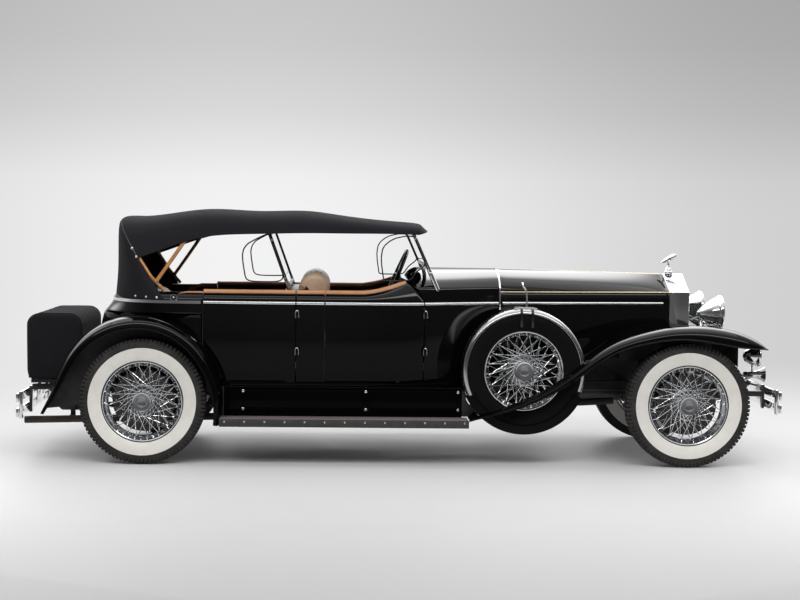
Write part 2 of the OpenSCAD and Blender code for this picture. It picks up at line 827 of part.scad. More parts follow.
module lamp_glass() {
    color("#dfe6ea")
        pair() {
            translate([headlamp_front_x - 8, -headlamp_y, headlamp_z])
                rotate([0, 90, 0])
                    cylinder(r = 117.2 - seat_gap, h = 7);
            translate([2452 - 8, -driving_lamp_y, driving_lamp_z])
                rotate([0, 90, 0])
                    cylinder(r = 61 - seat_gap, h = 7);
        }
}

module bumper(face_x, s, bars, arm_z, root_x) {
    half = wing_half_w - 66;
    bar_t = 14;
    front = face_x - s * bar_t;
    back = face_x - s * 34;
    color("#d5d7da") {
        for (z = bars)
            block([min(face_x, front), -half, z - 28], [max(face_x, front), half, z + 28]);
        pair()
            for (y = [half_track + 25, frame_half_w - 25])
                block([min(front, back), -y - 24, bars[0] - 40], [max(front, back), -y + 24, bars[1] + 40]);
    }
    color("#1a1a1c")
        pair()
            block([min(back, root_x), -frame_half_w + 1, arm_z - 18],
                [max(back, root_x), -frame_half_w + 48, arm_z + 18]);
}

module bumper_front() {
    bumper(2550, 1, [400, 488], 462, 2395 + seat_gap);
}

module bumper_rear() {
    difference() {
        union() {
            bumper(-2550, -1, [338, 436], 470, -2400 - seat_gap);
            // Blank plate with its bracket, between the bars
            color("#d5d7da")
                block([-2530, -160, 330], [-2524, 160, 470]);
            color("#d5d7da")
                block([-2536, -60, 380], [-2523, 60, 440]);
        }
        for (y = [-90, 90])
            translate([-2560, y, 388])
                rotate([0, 90, 0])
                    cylinder(r = 3.5, h = 60);
    }
}

// Trunk

trunk_z = 534;

module trunk() {
    hi = trunk_z + 448;
    color("#141416")
        across(0, 2 * (frame_half_w + 80))
            hull() {
                translate([-2470, hi - 72])
                    circle(r = 72);
                translate([-2278, hi - 60])
                    circle(r = 60);
                translate([-2530, trunk_z])
                    square([310, 20]);
                translate([-2540, trunk_z + 40])
                    square([330, 20]);
            }
}

module trunk_rack() {
    color("#1a1a1c") {
        pair()
            block([-2520, -frame_half_w - 20, 500 + seat_gap],
                [-2120, -frame_half_w + 50, trunk_z - seat_gap]);
        for (x = [-2500, -2380, -2260])
            block([x - 16, -frame_half_w + 40, 510], [x + 16, frame_half_w - 40, 526]);
    }
}

// Canopy

// A height as a share of the way from the canopy's lowest line to its highest.
function canopy_h(share) = mix(canopy_low, canopy_z, share);

// [middle x, middle height share, edge x, edge outside the canopy's side, edge height share,
// squareness, 1 on the roof and 0 at the back]
canopy_rows = [
    [190, 0.772, 112, -40, 0.743, 3, 1], [150, 0.825, 84, -28, 0.747, 3.2, 1],
    [112, 0.855, 60, -24, 0.749, 3.4, 1], [-30, 0.875, -40, -18, 0.752, 3.6, 1],
    [-240, 0.904, -240, -8, 0.752, 4, 1], [-460, 0.949, -460, 0, 0.751, 4, 1],
    [-680, 0.987, -680, 0, 0.749, 4, 1], [-980, 0.987, -960, 0, 0.736, 4, 1],
    [-1290, 1, -1210, 0, 0.719, 4, 1],
    [-1560, 0.95, -1400, 0, 0.667, 4, 1], [-1780, 0.914, -1590, 0, 0.563, 4, 1],
    [-1890, 0.901, -1720, 4, 0.485, 3.8, 1],
    [-1936, 0.881, -1772, 8, 0.442, 3.5, 0], [-1966, 0.799, -1745, 14, 0.373, 3.1, 0],
    [-1977, 0.541, -1694, 24, 0.244, 2.7, 0], [-1986, 0.277, -1648, 36, 0.129, 2.4, 0],
    [-2004, 0.007, -1602, 44, 0, 2.25, 0],
];
canopy_angles = [for (k = [22:-1:0]) k * 180 / 22];

// A point of a row, at an angle over the roof and a depth under the outer face.
function canopy_point(r, a, d) = let (
        s = bent(sin(a), r[5]), roof = r[6] == 1,
        x = r[0] + (roof ? 0 : d), z = canopy_h(r[1]) - (roof ? d : d / 2))
    [mix(r[2], x, s), -(canopy_half_w + r[3] - d) * bent(cos(a), r[5]), mix(canopy_h(r[4]), z, s)];

module canopy() {
    color("#161618")
        thick_patch([for (r = canopy_rows) [for (a = canopy_angles) canopy_point(r, a, 0)]],
            [for (r = canopy_rows) [for (a = canopy_angles) canopy_point(r, a, sheet_t)]]);
}

// The joint of the bows, and each bow's points from there to the roof, on the right.
pivot = [-1655, -body_half_w + 86, canopy_h(0.186)];
back_bow = [
    pivot, [-1692, -body_half_w + 76, canopy_h(0.255)], [-1740, -body_half_w + 82, canopy_h(0.38)],
    [-1766, -body_half_w + 88, canopy_h(0.449)],
];
main_bow = [pivot, [-1465, -body_half_w + 92, canopy_h(0.642)]];

// A round bar through points, flat at both ends. Its section is never turned along x.
module bar(path, r, sides = 10) {
    last = len(path) - 1;
    unit = function(v) v / norm(v);
    ring = function(k)
        let (
            along = unit(path[min(k + 1, last)] - path[max(k - 1, 0)]),
            u = unit(cross(along, [1, 0, 0])),
            v = cross(along, u)
        )
        [for (j = [0:sides - 1]) path[k] + r * (cos(360 * j / sides) * u + sin(360 * j / sides) * v)];
    at = function(k, j) k * sides + j % sides;
    polyhedron(
        [for (k = [0:last]) each ring(k)],
        concat(
            [for (j = [1:sides - 2]) [0, j, j + 1]],
            [for (k = [0:last - 1], j = [0:sides - 1])
                each [[at(k, j), at(k + 1, j + 1), at(k, j + 1)], [at(k, j), at(k + 1, j), at(k + 1, j + 1)]]],
            [for (j = [1:sides - 2]) [at(last, 0), at(last, j + 1), at(last, j)]]
        )
    );
}

// A bow from its foot, over the roof under the cloth along a row, to its other foot.
module bow(foot, row) {
    top = [for (k = [2:11]) canopy_point(row, k * 180 / 22, sheet_t + bow_r - 0.5)];
    right = concat(foot, top);
    left = [for (k = [len(right) - 2:-1:0]) [right[k][0], -right[k][1], right[k][2]]];
    bar(concat(right, left), bow_r);
}

module canopy_bows() {
    color("#a5672f") {
        bow(back_bow, canopy_rows[11]);
        bow(main_bow, mix(canopy_rows[8], canopy_rows[9], 0.6));
        bow([], canopy_rows[6]);
    }
    // Irons on the body's rim
    color("#c9ccd1")
        pair() {
            foot = [-1604, -body_half_w + 112, rail_z + 14];
            rod(foot, pivot, 10);
            rod(pivot - [0, bow_r + 2, 0], pivot + [0, bow_r + 2, 0], bow_r + 5);
            block([-1636, -body_half_w + 103, rail_z + seat_gap], [-1592, -body_half_w + 126, rail_z + 22]);
        }
}

// Screens

screen_top_z = canopy_h(0.763);

// A raked frame on its base: two posts, a head rail and a lower rail.
module screen(base, rake, half, height, low) {
    t = screen_tube;
    translate(base)
        rotate([0, -rake, 0]) {
            pair()
                block([-t / 2, -half - t, 0], [t / 2, -half, height]);
            for (z = [height - t, low])
                block([-t / 2, -half - 1, z], [t / 2, half + 1, z + t]);
        }
}

module pane(base, rake, half, height, low) {
    t = screen_tube;
    translate(base)
        rotate([0, -rake, 0])
            block([-3, -half + seat_gap, low + t + seat_gap], [3, half - seat_gap, height - t - seat_gap]);
}

front_base = [242, 0, 1160];
front_screen_h = (screen_top_z - front_base[2]) / cos(screen_rake);
front_screen_low = 0.408 * front_screen_h;
tonneau_rake = 20;
tonneau_base = [-762, 0, ledge_z + screen_tube / 2 * sin(tonneau_rake) + seat_gap];
tonneau_h = (screen_top_z - 4 - tonneau_base[2]) / cos(tonneau_rake);
tonneau_low = 20;
tonneau_half_w = screen_half_w - 50;

module windscreen_frame() {
    color("#c9ccd1")
        screen(front_base, screen_rake, screen_half_w, front_screen_h, front_screen_low);
}

module tonneau_screen_frame() {
    color("#c9ccd1")
        screen(tonneau_base, tonneau_rake, tonneau_half_w, tonneau_h, tonneau_low);
}

// Wind wings beside the posts: [x, share of the way from the lower edge to the top].
front_wing_glass = [
    [160, 0.38], [77, 1], [12, 1], [-52, 0.953], [-93, 0.88], [-123, 0.79], [-139, 0.7], [-147, 0.515],
    [-143, 0.33], [-134, 0.133], [-128, 0], [50, 0], [90, 0.2],
];
rear_wing_glass = [
    [-784, 0], [-899, 1], [-925, 1], [-965, 0.943], [-1000, 0.887], [-1048, 0.8], [-1074, 0.69], [-1083, 0.56],
    [-1077, 0.37], [-1057, 0],
];

module wind_wing(outline, post_y, low) {
    t = 6;
    across(-post_y - screen_tube - t / 2 - seat_gap, t)
        polygon([for (p = outline) [p[0], mix(low, screen_top_z - 24, p[1])]]);
}

module screen_glass() {
    color("#cfdde2") {
        pane(front_base, screen_rake, screen_half_w, front_screen_h, front_screen_low);
        pane(tonneau_base, tonneau_rake, tonneau_half_w, tonneau_h, tonneau_low);
        pair() {
            wind_wing(front_wing_glass, screen_half_w, rail_z + 90);
            wind_wing(rear_wing_glass, tonneau_half_w, rail_z + 72);
        }
    }
}

// Cabin

module seat_cushions() {
    base = floor_top;
    color("#9a6a3c") {
        across(0, 2 * (body_half_w - 149))
            polygon([
                [-630, base], [-110, base], [-100, 800], [-120, 840], [-160, 850], [-600, 815], [-630, 790],
            ]);
        across(0, 2 * (body_half_w - 234))
            polygon([
                [-1690, base], [-1250, base], [-1236, 800], [-1256, 842], [-1296, 855],
                [-1660, 826], [-1690, 800],
            ]);
    }
}

module seat_backs() {
    back = partition_x + partition_t + seat_gap;
    roll_r = 108;
    roll = [back + 71, ledge_z + 18];
    color("#9a6a3c") {
        // Front back, with a thick round roll over the partition
        across(0, 2 * (body_half_w - 139))
            polygon(concat(
                [[back, 852], [-500, 868]],
                [for (a = [0:15:180]) roll + roll_r * [cos(a), sin(a)]],
                [[roll[0] - roll_r, ledge_z + seat_gap], [back, ledge_z + seat_gap]]));
        across(0, 2 * (body_half_w - 264))
            polygon([
                [-1790, 862], [-1600, 872], [-1648, 1130], [-1680, 1180], [-1730, 1196],
                [-1786.3, 1180], [-1806.3, 1120],
            ]);
    }
}

module steering_column() {
    y = column_top[1];
    foot = column_top + column_dir * 640;
    plate = 652 - seat_gap;
    color("#1a1a1c") {
        rod(column_top + column_dir * 10, foot, 20);
        block([foot[0] - 30, y - 40, foot[2] - 50], [plate, y + 40, foot[2] + 50]);
        // Pedals and levers
        for (side = [y - 80, y + 45])
            rod([560, side, 760], [480, side, 640], 12);
        block([540, y - 100, 745], [plate, y + 65, 775]);
    }
}

module steering_wheel() {
    color("#111113")
        translate(column_top)
            rotate([0, acos(column_dir[2]), 0]) {
                rotate_extrude()
                    translate([215, 0])
                        circle(r = 13);
                difference() {
                    union() {
                        translate([0, 0, -24])
                            cylinder(r = 34, h = 56);
                        for (a = [45:90:315])
                            rotate([0, 0, a])
                                rod([20, 0, 10], [214, 0, 0], 8);
                    }
                    translate([0, 0, 9])
                        cylinder(r = 20 + run_fit, h = 60);
                }
            }
}

// Steering and wheels

arm_back = 165;

module knuckle() {
    color("#1a1a1c")
        translate([front_x, -half_track, axle_z]) {
            difference() {
                union() {
                    for (s = [-1, 1])
                        translate([0, kingpin_inset, s * 64 - 15]) {
                            cylinder(r = 32, h = 30);
                            block([-30, -54, 0], [30, 0, 30]);
                        }
                    block([-30, kingpin_inset - 54, -79], [30, kingpin_inset - 39, 79]);
                    // Steering arm, behind the axle
                    block([-arm_back - 18, kingpin_inset - 20, -79], [0, kingpin_inset + 20, -61]);
                    translate([-arm_back, kingpin_inset, -110])
                        cylinder(r = 9, h = 40);
                }
                translate([0, kingpin_inset, 0])
                    cylinder(r = kingpin_r + run_fit, h = 300, center = true);
            }
            // Stub axle and back plate
            translate([0, kingpin_inset - 52, 0])
                rotate([90, 0, 0])
                    cylinder(r = stub_r, h = kingpin_inset - 52 + 60);
            translate([0, kingpin_inset - 52, 0])
                rotate([90, 0, 0])
                    cylinder(r = drum_r - 19, h = 6);
        }
}

module knuckle_right() {
    knuckle();
}
module knuckle_left() {
    mirror([0, 1, 0])
        knuckle();
}

module tie_rod() {
    y = kingpin_y;
    color("#1a1a1c")
        difference() {
            union() {
                rod([front_x - arm_back, -y, axle_z - 97], [front_x - arm_back, y, axle_z - 97], 12);
                pair()
                    translate([front_x - arm_back, -y, axle_z - 111])
                        cylinder(r = 20, h = 28);
            }
            pair()
                translate([front_x - arm_back, -y, axle_z - 130])
                    cylinder(r = 9 + run_fit, h = 60);
        }
}

// Tyre section: [radius, distance from the middle], one side from the bead to the tread.
bead_r = rim_r + 21;
tyre_half = [
    [rim_r + seat_gap, 59], [rim_r + 19, 59], [bead_r, 68], [mix(bead_r, tyre_r, 0.176), 0.47 * tyre_w],
    [mix(bead_r, tyre_r, 0.405), 0.5 * tyre_w], [mix(bead_r, tyre_r, 0.664), 0.49 * tyre_w],
    [mix(bead_r, tyre_r, 0.832), 0.45 * tyre_w], [mix(bead_r, tyre_r, 0.939), 0.37 * tyre_w],
    [mix(bead_r, tyre_r, 0.985), 0.26 * tyre_w], [tyre_r, 0.14 * tyre_w],
];
// Rim from its outer flange over the bed to the inner flange.
rim_side = [
    [rim_r + 17, 66], [rim_r + 17, 60], [rim_r, 60], [rim_r, 32], [rim_r - 22, 24], [rim_r - 22, -24],
    [rim_r, -32], [rim_r, -60], [rim_r + 17, -60], [rim_r + 17, -66],
];

module tyre_ring() {
    n = len(tyre_half);
    rotate_extrude()
        polygon(concat(tyre_half, [for (i = [n - 1:-1:0]) [tyre_half[i][0], -tyre_half[i][1]]]));
}

// A spoke from a radius and height on the hub to the rim, turned on its way.
module spoke(a, hub_r, hub_z, turn, rim_z) {
    r = rim_r - 25;
    rod([hub_r * cos(a), hub_r * sin(a), hub_z], [r * cos(a + turn), r * sin(a + turn), rim_z], spoke_r);
}

// Rim, hub and two rows of crossed spokes. The road wheels carry their brake drum.
module wire_wheel(drum) {
    bore = stub_r + run_fit;
    rotate_extrude()
        polygon(concat(rim_side, [[rim_r - 6, -66], [rim_r - 6, -34], [rim_r - 28, -28], [rim_r - 28, 28],
            [rim_r - 6, 34], [rim_r - 6, 66]]));
    rotate_extrude()
        polygon(concat(
            [[0, 62], [bore, 62], [bore, -42], [52, -42], [52, -14]],
            drum ? [[drum_r - 10, -14], [drum_r - 10, -50], [drum_r, -50], [drum_r, -8]] : [[84, -14]],
            [[84, -8], [86, 0], [86, 22], [66, 34], [58, 60], [62, 66], [62, 82], [52, 86], [46, 102],
             [30, 108], [0, 110]]));
    for (i = [0:spokes_per_row - 1], s = [-1, 1]) {
        a = i * 360 / spokes_per_row;
        spoke(a, 59, 73 + s * 4, s * 34, 14 + s * 4);
        spoke(a + 180 / spokes_per_row, 83, 11 + s * 4, s * 26, -8 + s * 4);
    }
}

module on_axle(x, side) {
    translate([x, side * half_track, axle_z])
        rotate([side < 0 ? 90 : -90, 0, 0])
            children();
}

module tyre(x, side) {
    color("#17171a")
        on_axle(x, side)
            tyre_ring();
}

module wheel(x, side) {
    color("#c9ccd1")
        on_axle(x, side)
            wire_wheel(true);
}

chassis_rails();
chassis_crossmembers();
front_axle();
rear_axle();
springs();
engine();
exhaust();
fuel_tank();
floor();
cowl();
bulkheads();
partition();
tub_rear();
door_posts();
door_hinges();
bonnet();
radiator_shell();
radiator_shutters();
radiator_cap();
wings_front();
wings_rear();
spare_wells();
running_boards();
side_aprons();
spare_tyres();
spare_wheels();
lamp_bar();
headlamps();
driving_lamps();
lamp_glass();
bumper_front();
bumper_rear();
trunk();
trunk_rack();
canopy();
canopy_bows();
windscreen_frame();
tonneau_screen_frame();
screen_glass();
seat_cushions();
seat_backs();
steering_column();
steering_wheel();
tie_rod();
knuckle_right();
knuckle_left();
door_front_right();
door_front_left();
door_rear_right();
door_rear_left();
tyre(front_x, -1);  // tyre_front_right
tyre(front_x, 1);  // tyre_front_left
tyre(rear_x, -1);  // tyre_rear_right
tyre(rear_x, 1);  // tyre_rear_left
wheel(front_x, -1);  // wheel_front_right
wheel(front_x, 1);  // wheel_front_left
wheel(rear_x, -1);  // wheel_rear_right
wheel(rear_x, 1);  // wheel_rear_left
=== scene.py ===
# %% [markdown]
# # An open touring car, dressed around its frame
# The frame is the finished engineering model, in metres, with the car's nose along +X.
# This lesson gives each panel its smooth skin, each metal its polish and each cloth its weave.
# We load the frame first. The dressed car has to stay inside it.

# %% Load the frame
import math

import bmesh
import bpy
import numpy as np
from mathutils import Matrix, Vector


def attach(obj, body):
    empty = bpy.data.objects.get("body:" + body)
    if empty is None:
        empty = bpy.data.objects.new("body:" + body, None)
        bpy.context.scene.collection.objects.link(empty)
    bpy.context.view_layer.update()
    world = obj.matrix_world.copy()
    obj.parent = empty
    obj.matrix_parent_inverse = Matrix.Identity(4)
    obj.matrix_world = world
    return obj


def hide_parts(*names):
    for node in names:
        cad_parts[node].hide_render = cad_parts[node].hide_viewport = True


MM = 0.001
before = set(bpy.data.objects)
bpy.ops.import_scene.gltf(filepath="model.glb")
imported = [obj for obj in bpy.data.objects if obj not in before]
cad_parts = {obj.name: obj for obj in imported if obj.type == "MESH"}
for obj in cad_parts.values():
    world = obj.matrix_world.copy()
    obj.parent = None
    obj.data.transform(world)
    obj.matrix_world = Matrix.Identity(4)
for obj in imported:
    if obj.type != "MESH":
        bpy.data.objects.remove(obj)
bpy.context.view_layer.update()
scene = bpy.context.scene

# %% [markdown]
# ## Camera
# The picture is taken from the car's right side with a long lens at about head height.
# A long lens keeps the four wheels nearly the same size, so it stands almost 12 m away.

# %% Camera
PHOTO_WIDTH = 800
FOCAL_PIXELS = 1657.5
CAMERA_AT = (-0.454, -11.767, 1.686)
CAMERA_TURNS = {"yaw": 2.243, "pitch": 3.003, "roll": 0.718}
yaw, pitch, roll = (math.radians(a) for a in CAMERA_TURNS.values())
forward = Vector((math.sin(yaw) * math.cos(pitch), math.cos(yaw) * math.cos(pitch), -math.sin(pitch)))
level = Vector((math.cos(yaw), -math.sin(yaw), 0))
upright = level.cross(forward)
right = level * math.cos(roll) + upright * math.sin(roll)
above = upright * math.cos(roll) - level * math.sin(roll)
camera_data = bpy.data.cameras.new("camera")
camera_data.sensor_width = 36
camera_data.lens = FOCAL_PIXELS * camera_data.sensor_width / PHOTO_WIDTH
camera = bpy.data.objects.new("camera", camera_data)
turn = Matrix((right, above, -forward)).transposed().to_4x4()
camera.matrix_world = Matrix.Translation(CAMERA_AT) @ turn
scene.collection.objects.link(camera)
scene.camera = camera
scene.view_settings.view_transform = "Standard"
print("lens", round(camera_data.lens, 1))

# %% [markdown]
# ## Shader sums as plain Python
# A material is a graph of nodes, and graphs are hard to read as code.
# One small class wraps a socket, so that `1 - mask * 0.3` adds its own Math nodes.

# %% A socket that does sums


class Sock:
    """One output of a node, with the operators that a number has."""

    def __init__(self, tree, out):
        self.tree = tree
        self.out = out

    def math(self, operation, *others):
        node = self.tree.nodes.new("ShaderNodeMath")
        node.operation = operation
        for socket, value in zip(node.inputs, (self, *others)):
            feed(self.tree, socket, value)
        return Sock(self.tree, node.outputs[0])

    def __add__(self, other):
        return self.math("ADD", other)

    def __sub__(self, other):
        return self.math("SUBTRACT", other)

    def __mul__(self, other):
        return self.math("MULTIPLY", other)

    def __truediv__(self, other):
        return self.math("DIVIDE", other)

    def __pow__(self, other):
        return self.math("POWER", other)

    def __rsub__(self, other):
        return self.math("MULTIPLY_ADD", -1.0, other)

    def step(self, low, high):
        """0 below low, 1 above high, smooth between."""
        node = self.tree.nodes.new("ShaderNodeMapRange")
        node.interpolation_type = "SMOOTHSTEP"
        for socket, value in zip(node.inputs, (self, low, high, 0.0, 1.0)):
            feed(self.tree, socket, value)
        return Sock(self.tree, node.outputs[0])


def feed(tree, socket, value):
    """Links a socket to an output, or sets its plain value."""
    if isinstance(value, Sock):
        tree.links.new(value.out, socket)
    else:
        socket.default_value = value


print("made", Sock.__name__)

# %% Graphs and finishes


class Graph:
    """Adds nodes to a material's or the world's tree."""

    def __init__(self, tree):
        self.tree = tree

    def node(self, kind, settings=None, sockets=None, out=0):
        made = self.tree.nodes.new("ShaderNode" + kind)
        for name, value in (settings or {}).items():
            if name == "stops":
                while len(made.color_ramp.elements) < len(value):
                    made.color_ramp.elements.new(0.5)
                for stop, (place, colour) in zip(made.color_ramp.elements, value):
                    stop.position = place
                    stop.color = (*colour, 1)
            else:
                setattr(made, name, value)
        for name, value in (sockets or {}).items():
            feed(self.tree, made.inputs[name], value)
        return Sock(self.tree, made.outputs[out])

    def place(self, kind="Object"):
        return self.node("TexCoord", out=kind)

    def split(self, vector):
        return [self.node("SeparateXYZ", None, {0: vector}, k) for k in range(3)]

    def grey(self, value):
        """A colour with one value in all three channels."""
        return self.node("CombineXYZ", None, {0: value, 1: value, 2: value})

    def stretched(self, vector, scale):
        return self.node("VectorMath", {"operation": "MULTIPLY"}, {0: vector, 1: scale})

    def noise(self, vector, scale, detail=3.0, rough=0.5):
        return self.node(
            "TexNoise", None, {"Vector": vector, "Scale": scale, "Detail": detail, "Roughness": rough}
        )

    def mix(self, factor, first, second):
        """Two colours, or two sockets of colour, mixed by a factor."""
        pair = [(*c, 1) if isinstance(c, tuple) else c for c in (first, second)]
        return self.node("Mix", {"data_type": "RGBA"}, {0: factor, 6: pair[0], 7: pair[1]}, 2)

    def bump(self, height, distance, strength=1.0):
        return self.node("Bump", None, {"Height": height, "Distance": distance, "Strength": strength})


class Finish(Graph):
    """A material with one Principled shader; sockets that never vary are set on the shader itself."""

    def __init__(self, name, **constant):
        self.material = bpy.data.materials.new(name)
        self.material.use_nodes = True
        super().__init__(self.material.node_tree)
        self.shader = self.tree.nodes["Principled BSDF"]
        self.set(**constant)

    def set(self, **sockets):
        for name, value in sockets.items():
            if isinstance(value, tuple) and len(value) == 3:
                value = (*value, 1)
            feed(self.tree, self.shader.inputs[name.replace("_", " ")], value)
        return self


print("made", Graph.__name__, Finish.__name__)

# %% [markdown]
# ## Studio
# The room is pale and soft: a bright wall behind the car, a wide lamp overhead and a darker side
# behind the camera. Black lacquer has no colour of its own to show, so what it mirrors is its look.
# A high panel over the wall shows only in polish: it lays the soft sheen on the bonnet.

# %% Studio wall
WALL_GREYS = {0.0: 0.80, 0.02: 0.78, 0.06: 0.62, 0.10: 0.53, 0.14: 0.49, 0.40: 0.42, 0.65: 0.62, 1.0: 0.80}
WALL_STOPS = [(rise, (grey,) * 3) for rise, grey in WALL_GREYS.items()]
ROOM_LIGHT, PANEL_LIGHT = 1.12, 6.8
DARK_SIDE, DIM_ENDS = 0.18, 0.70


def wall_light(graph, x, y, z):
    """Brightness of the studio wall in one direction, given by its unit vector."""
    rise = graph.node("ValToRGB", {"stops": WALL_STOPS}, {0: z})
    far_side = y.step(-0.75, 0.65) * (1 - DARK_SIDE) + DARK_SIDE
    overhead = z.step(0.35, 0.8)
    side = far_side + overhead * (1 - far_side)
    middle = (1 - (x + 0.05).math("ABSOLUTE").step(0.0, 0.34)) * (1 - DIM_ENDS) + DIM_ENDS
    glow = middle + (1 - middle) * z.step(0.1, 0.5)
    return graph.stretched(rise, graph.grey(side * glow))


world = bpy.data.worlds.new("studio")
scene.world = world
world.use_nodes = True
sky = Graph(world.node_tree)
world_shader = world.node_tree.nodes["Background"]
sky_x, sky_y, sky_z = sky.split(sky.place("Generated"))
feed(sky.tree, world_shader.inputs["Color"], wall_light(sky, sky_x, sky_y, sky_z))
high_panel = sky_z.step(0.15, 0.32) * (1 - sky_z.step(0.56, 0.86)) * sky_y.step(0.2, 0.75)
polish_only = sky.node("LightPath", out="Is Glossy Ray")
feed(sky.tree, world_shader.inputs["Strength"], high_panel * polish_only * PANEL_LIGHT + ROOM_LIGHT)
print("wall stops", len(WALL_STOPS))

# %% Studio lamps


def softbox(name, spot, aim, size, radiance, in_polish=True):
    """A soft rectangular lamp. One that is not in polish lights the car but has no reflection."""
    lamp = bpy.data.lights.new(name, "AREA")
    lamp.shape = "RECTANGLE"
    lamp.size, lamp.size_y = size
    lamp.energy = radiance * math.pi * size[0] * size[1]
    holder = bpy.data.objects.new(name, lamp)
    holder.location = spot
    holder.visible_glossy = in_polish
    holder.rotation_euler = (Vector(aim) - Vector(spot)).to_track_quat("-Z", "Y").to_euler()
    scene.collection.objects.link(holder)


SIDE_LAMP = ((0.0, -6.5, 6.0), (0.0, 0.0, 0.6), (13.0, 3.5))
softbox("lamp_overhead", (0.2, 0.4, 4.6), (0.2, 0.2, 0.0), (8.0, 3.2), 0.9)
softbox("lamp_fill", *SIDE_LAMP, 0.7, False)
softbox("lamp_side", *SIDE_LAMP, 3.2)
softbox("lamp_strip", (0.0, -5.2, 5.4), (0.0, 0.0, 0.9), (13.0, 0.8), 5.0)
print("lamps", len(bpy.data.lights))

# %% [markdown]
# ## Floor
# The floor takes the car's shadow. Further out it fades into the wall's own brightness, so no
# horizon line shows. It belongs to the stage and not to the car.

# %% Floor disc
FLOOR_RADIUS = 60.0
floor_mesh = bpy.data.meshes.new("studio_floor")
shape = bmesh.new()
bmesh.ops.create_circle(shape, cap_ends=True, segments=96, radius=FLOOR_RADIUS)
shape.to_mesh(floor_mesh)
shape.free()
studio_floor = bpy.data.objects.new("studio_floor", floor_mesh)
scene.collection.objects.link(studio_floor)
print("floor radius", FLOOR_RADIUS)

# %% Floor paint
pale = Finish("studio_floor", Roughness=0.55)
spot = pale.place()
floor_x, floor_y, _ = pale.split(spot)
reach = (floor_x * floor_x * 0.12 + floor_y * floor_y) ** 0.5
near_side = (floor_y * -1).step(0.5, 2.5)
# Towards the camera the floor's colour is painted darker: painted shade against the side lamps' light there.
shade = 1 - (floor_y * -1).step(1.2, 5.2) * 0.52
paint = pale.mix(pale.noise(spot, 2.5), (0.66, 0.66, 0.66), (0.69, 0.69, 0.69))
pale.set(Base_Color=pale.stretched(paint, pale.grey(shade)))
glow_x = floor_x - CAMERA_AT[0]
glow_y = floor_y - floor_y.step(0.0, 6.0) * CAMERA_AT[1]
away = (glow_x * glow_x + glow_y * glow_y) ** 0.5
wall_glow = wall_light(pale, glow_x / away, glow_y / away, away * 0.0)
floor_glow = pale.node("Emission", None, {"Color": wall_glow, "Strength": ROOM_LIGHT})
far_fade = reach.step(1.6, 8.5)
# The glow never falls below a share of 0.09, under the car too: painted light that lifts the car's shadow.
fade = (far_fade + (reach.step(4.6, 6.6) - far_fade) * near_side) * 0.91 + 0.09
blend = pale.node("MixShader", None, {0: fade, 1: Sock(pale.tree, pale.shader.outputs[0]), 2: floor_glow})
pale.tree.links.new(blend.out, pale.tree.nodes["Material Output"].inputs["Surface"])
floor_mesh.materials.append(pale.material)
print("floor paint", len(pale.tree.nodes))

# %% [markdown]
# ## Finishes
# Each finish has its own small flaws: polish haze on lacquer, finger marks on chrome, a weave in
# the cloth and pores in the wood. Patterns read the object's own coordinates, in metres.

# %% Lacquer and metals


def lacquer(name, colour, dust, coat=1.0):
    """Polished paint: a dark base under a clear coat, with faint haze and dust.

    The coat thins towards the bottom, so low panels mirror less and read darker.
    """
    paint = Finish(name, Coat_Roughness=0.02, Coat_IOR=1.4, Specular_IOR_Level=0.0)
    where = paint.place()
    # Less coat low down: the lower panels mirror less and read darker.
    coat_by_height = paint.split(where)[2].step(0.55, 1.05)
    paint.set(Coat_Weight=coat_by_height * (0.72 * coat) + 0.28 * coat)
    haze = paint.noise(where, 3.0, 5.0)
    specks = paint.noise(where, 260.0, 2.0).step(0.66, 0.75)
    paint.set(Base_Color=paint.mix(specks * dust, colour, (0.10, 0.095, 0.09)))
    paint.set(Roughness=haze * 0.10 + 0.05)
    paint.set(Normal=paint.bump(paint.noise(where, 420.0, 1.0), 0.00002, 0.25))
    return paint.material


def plated(name, colour, roughness, marks):
    """Plated or polished metal, with cloudy finger marks in its gloss."""
    metal = Finish(name, Metallic=1.0)
    where = metal.place()
    cloud = metal.noise(where, 9.0, 4.0)
    fine = metal.noise(where, 140.0, 3.0)
    metal.set(Base_Color=metal.mix(cloud, colour, tuple(c * 0.90 for c in colour)))
    metal.set(Roughness=cloud * marks + fine * marks * 0.5 + roughness)
    return metal.material


def enamel(name, colour, grime, roughness):
    """Stoved black of the running gear, dulled by road dust."""
    coat = Finish(name)
    where = coat.place()
    dust = coat.noise(where, 7.0, 6.0, 0.6).step(0.35, 0.8)
    coat.set(Base_Color=coat.mix(dust, colour, grime))
    coat.set(Roughness=dust * 0.3 + roughness)
    coat.set(Normal=coat.bump(coat.noise(where, 90.0, 4.0), 0.0004, 0.4))
    return coat.material


black_lacquer = lacquer("black_lacquer", (0.0014, 0.0014, 0.0016), 0.03)
apron_black = lacquer("apron_black", (0.0014, 0.0014, 0.0016), 0.03, 0.35)
chrome = plated("chrome", (0.86, 0.87, 0.88), 0.025, 0.05)
band_nickel = plated("band_nickel", (0.46, 0.46, 0.47), 0.10, 0.10)
dull_nickel = plated("dull_nickel", (0.50, 0.50, 0.50), 0.16, 0.14)
bonnet_brass = plated("bonnet_brass", (0.74, 0.60, 0.40), 0.10, 0.10)
chassis_black = enamel("chassis_black", (0.007, 0.007, 0.008), (0.035, 0.032, 0.029), 0.32)
gear_iron = enamel("gear_iron", (0.05, 0.052, 0.055), (0.09, 0.08, 0.07), 0.45)
pipe_steel = enamel("pipe_steel", (0.022, 0.016, 0.012), (0.05, 0.037, 0.027), 0.42)
wheel_chrome = plated("wheel_chrome", (0.66, 0.67, 0.69), 0.05, 0.06)
wheel_ebonite = enamel("wheel_ebonite", (0.006, 0.006, 0.006), (0.02, 0.02, 0.02), 0.16)
print("paints and metals", len(bpy.data.materials))

# %% Rubber, cloth, leather and wood


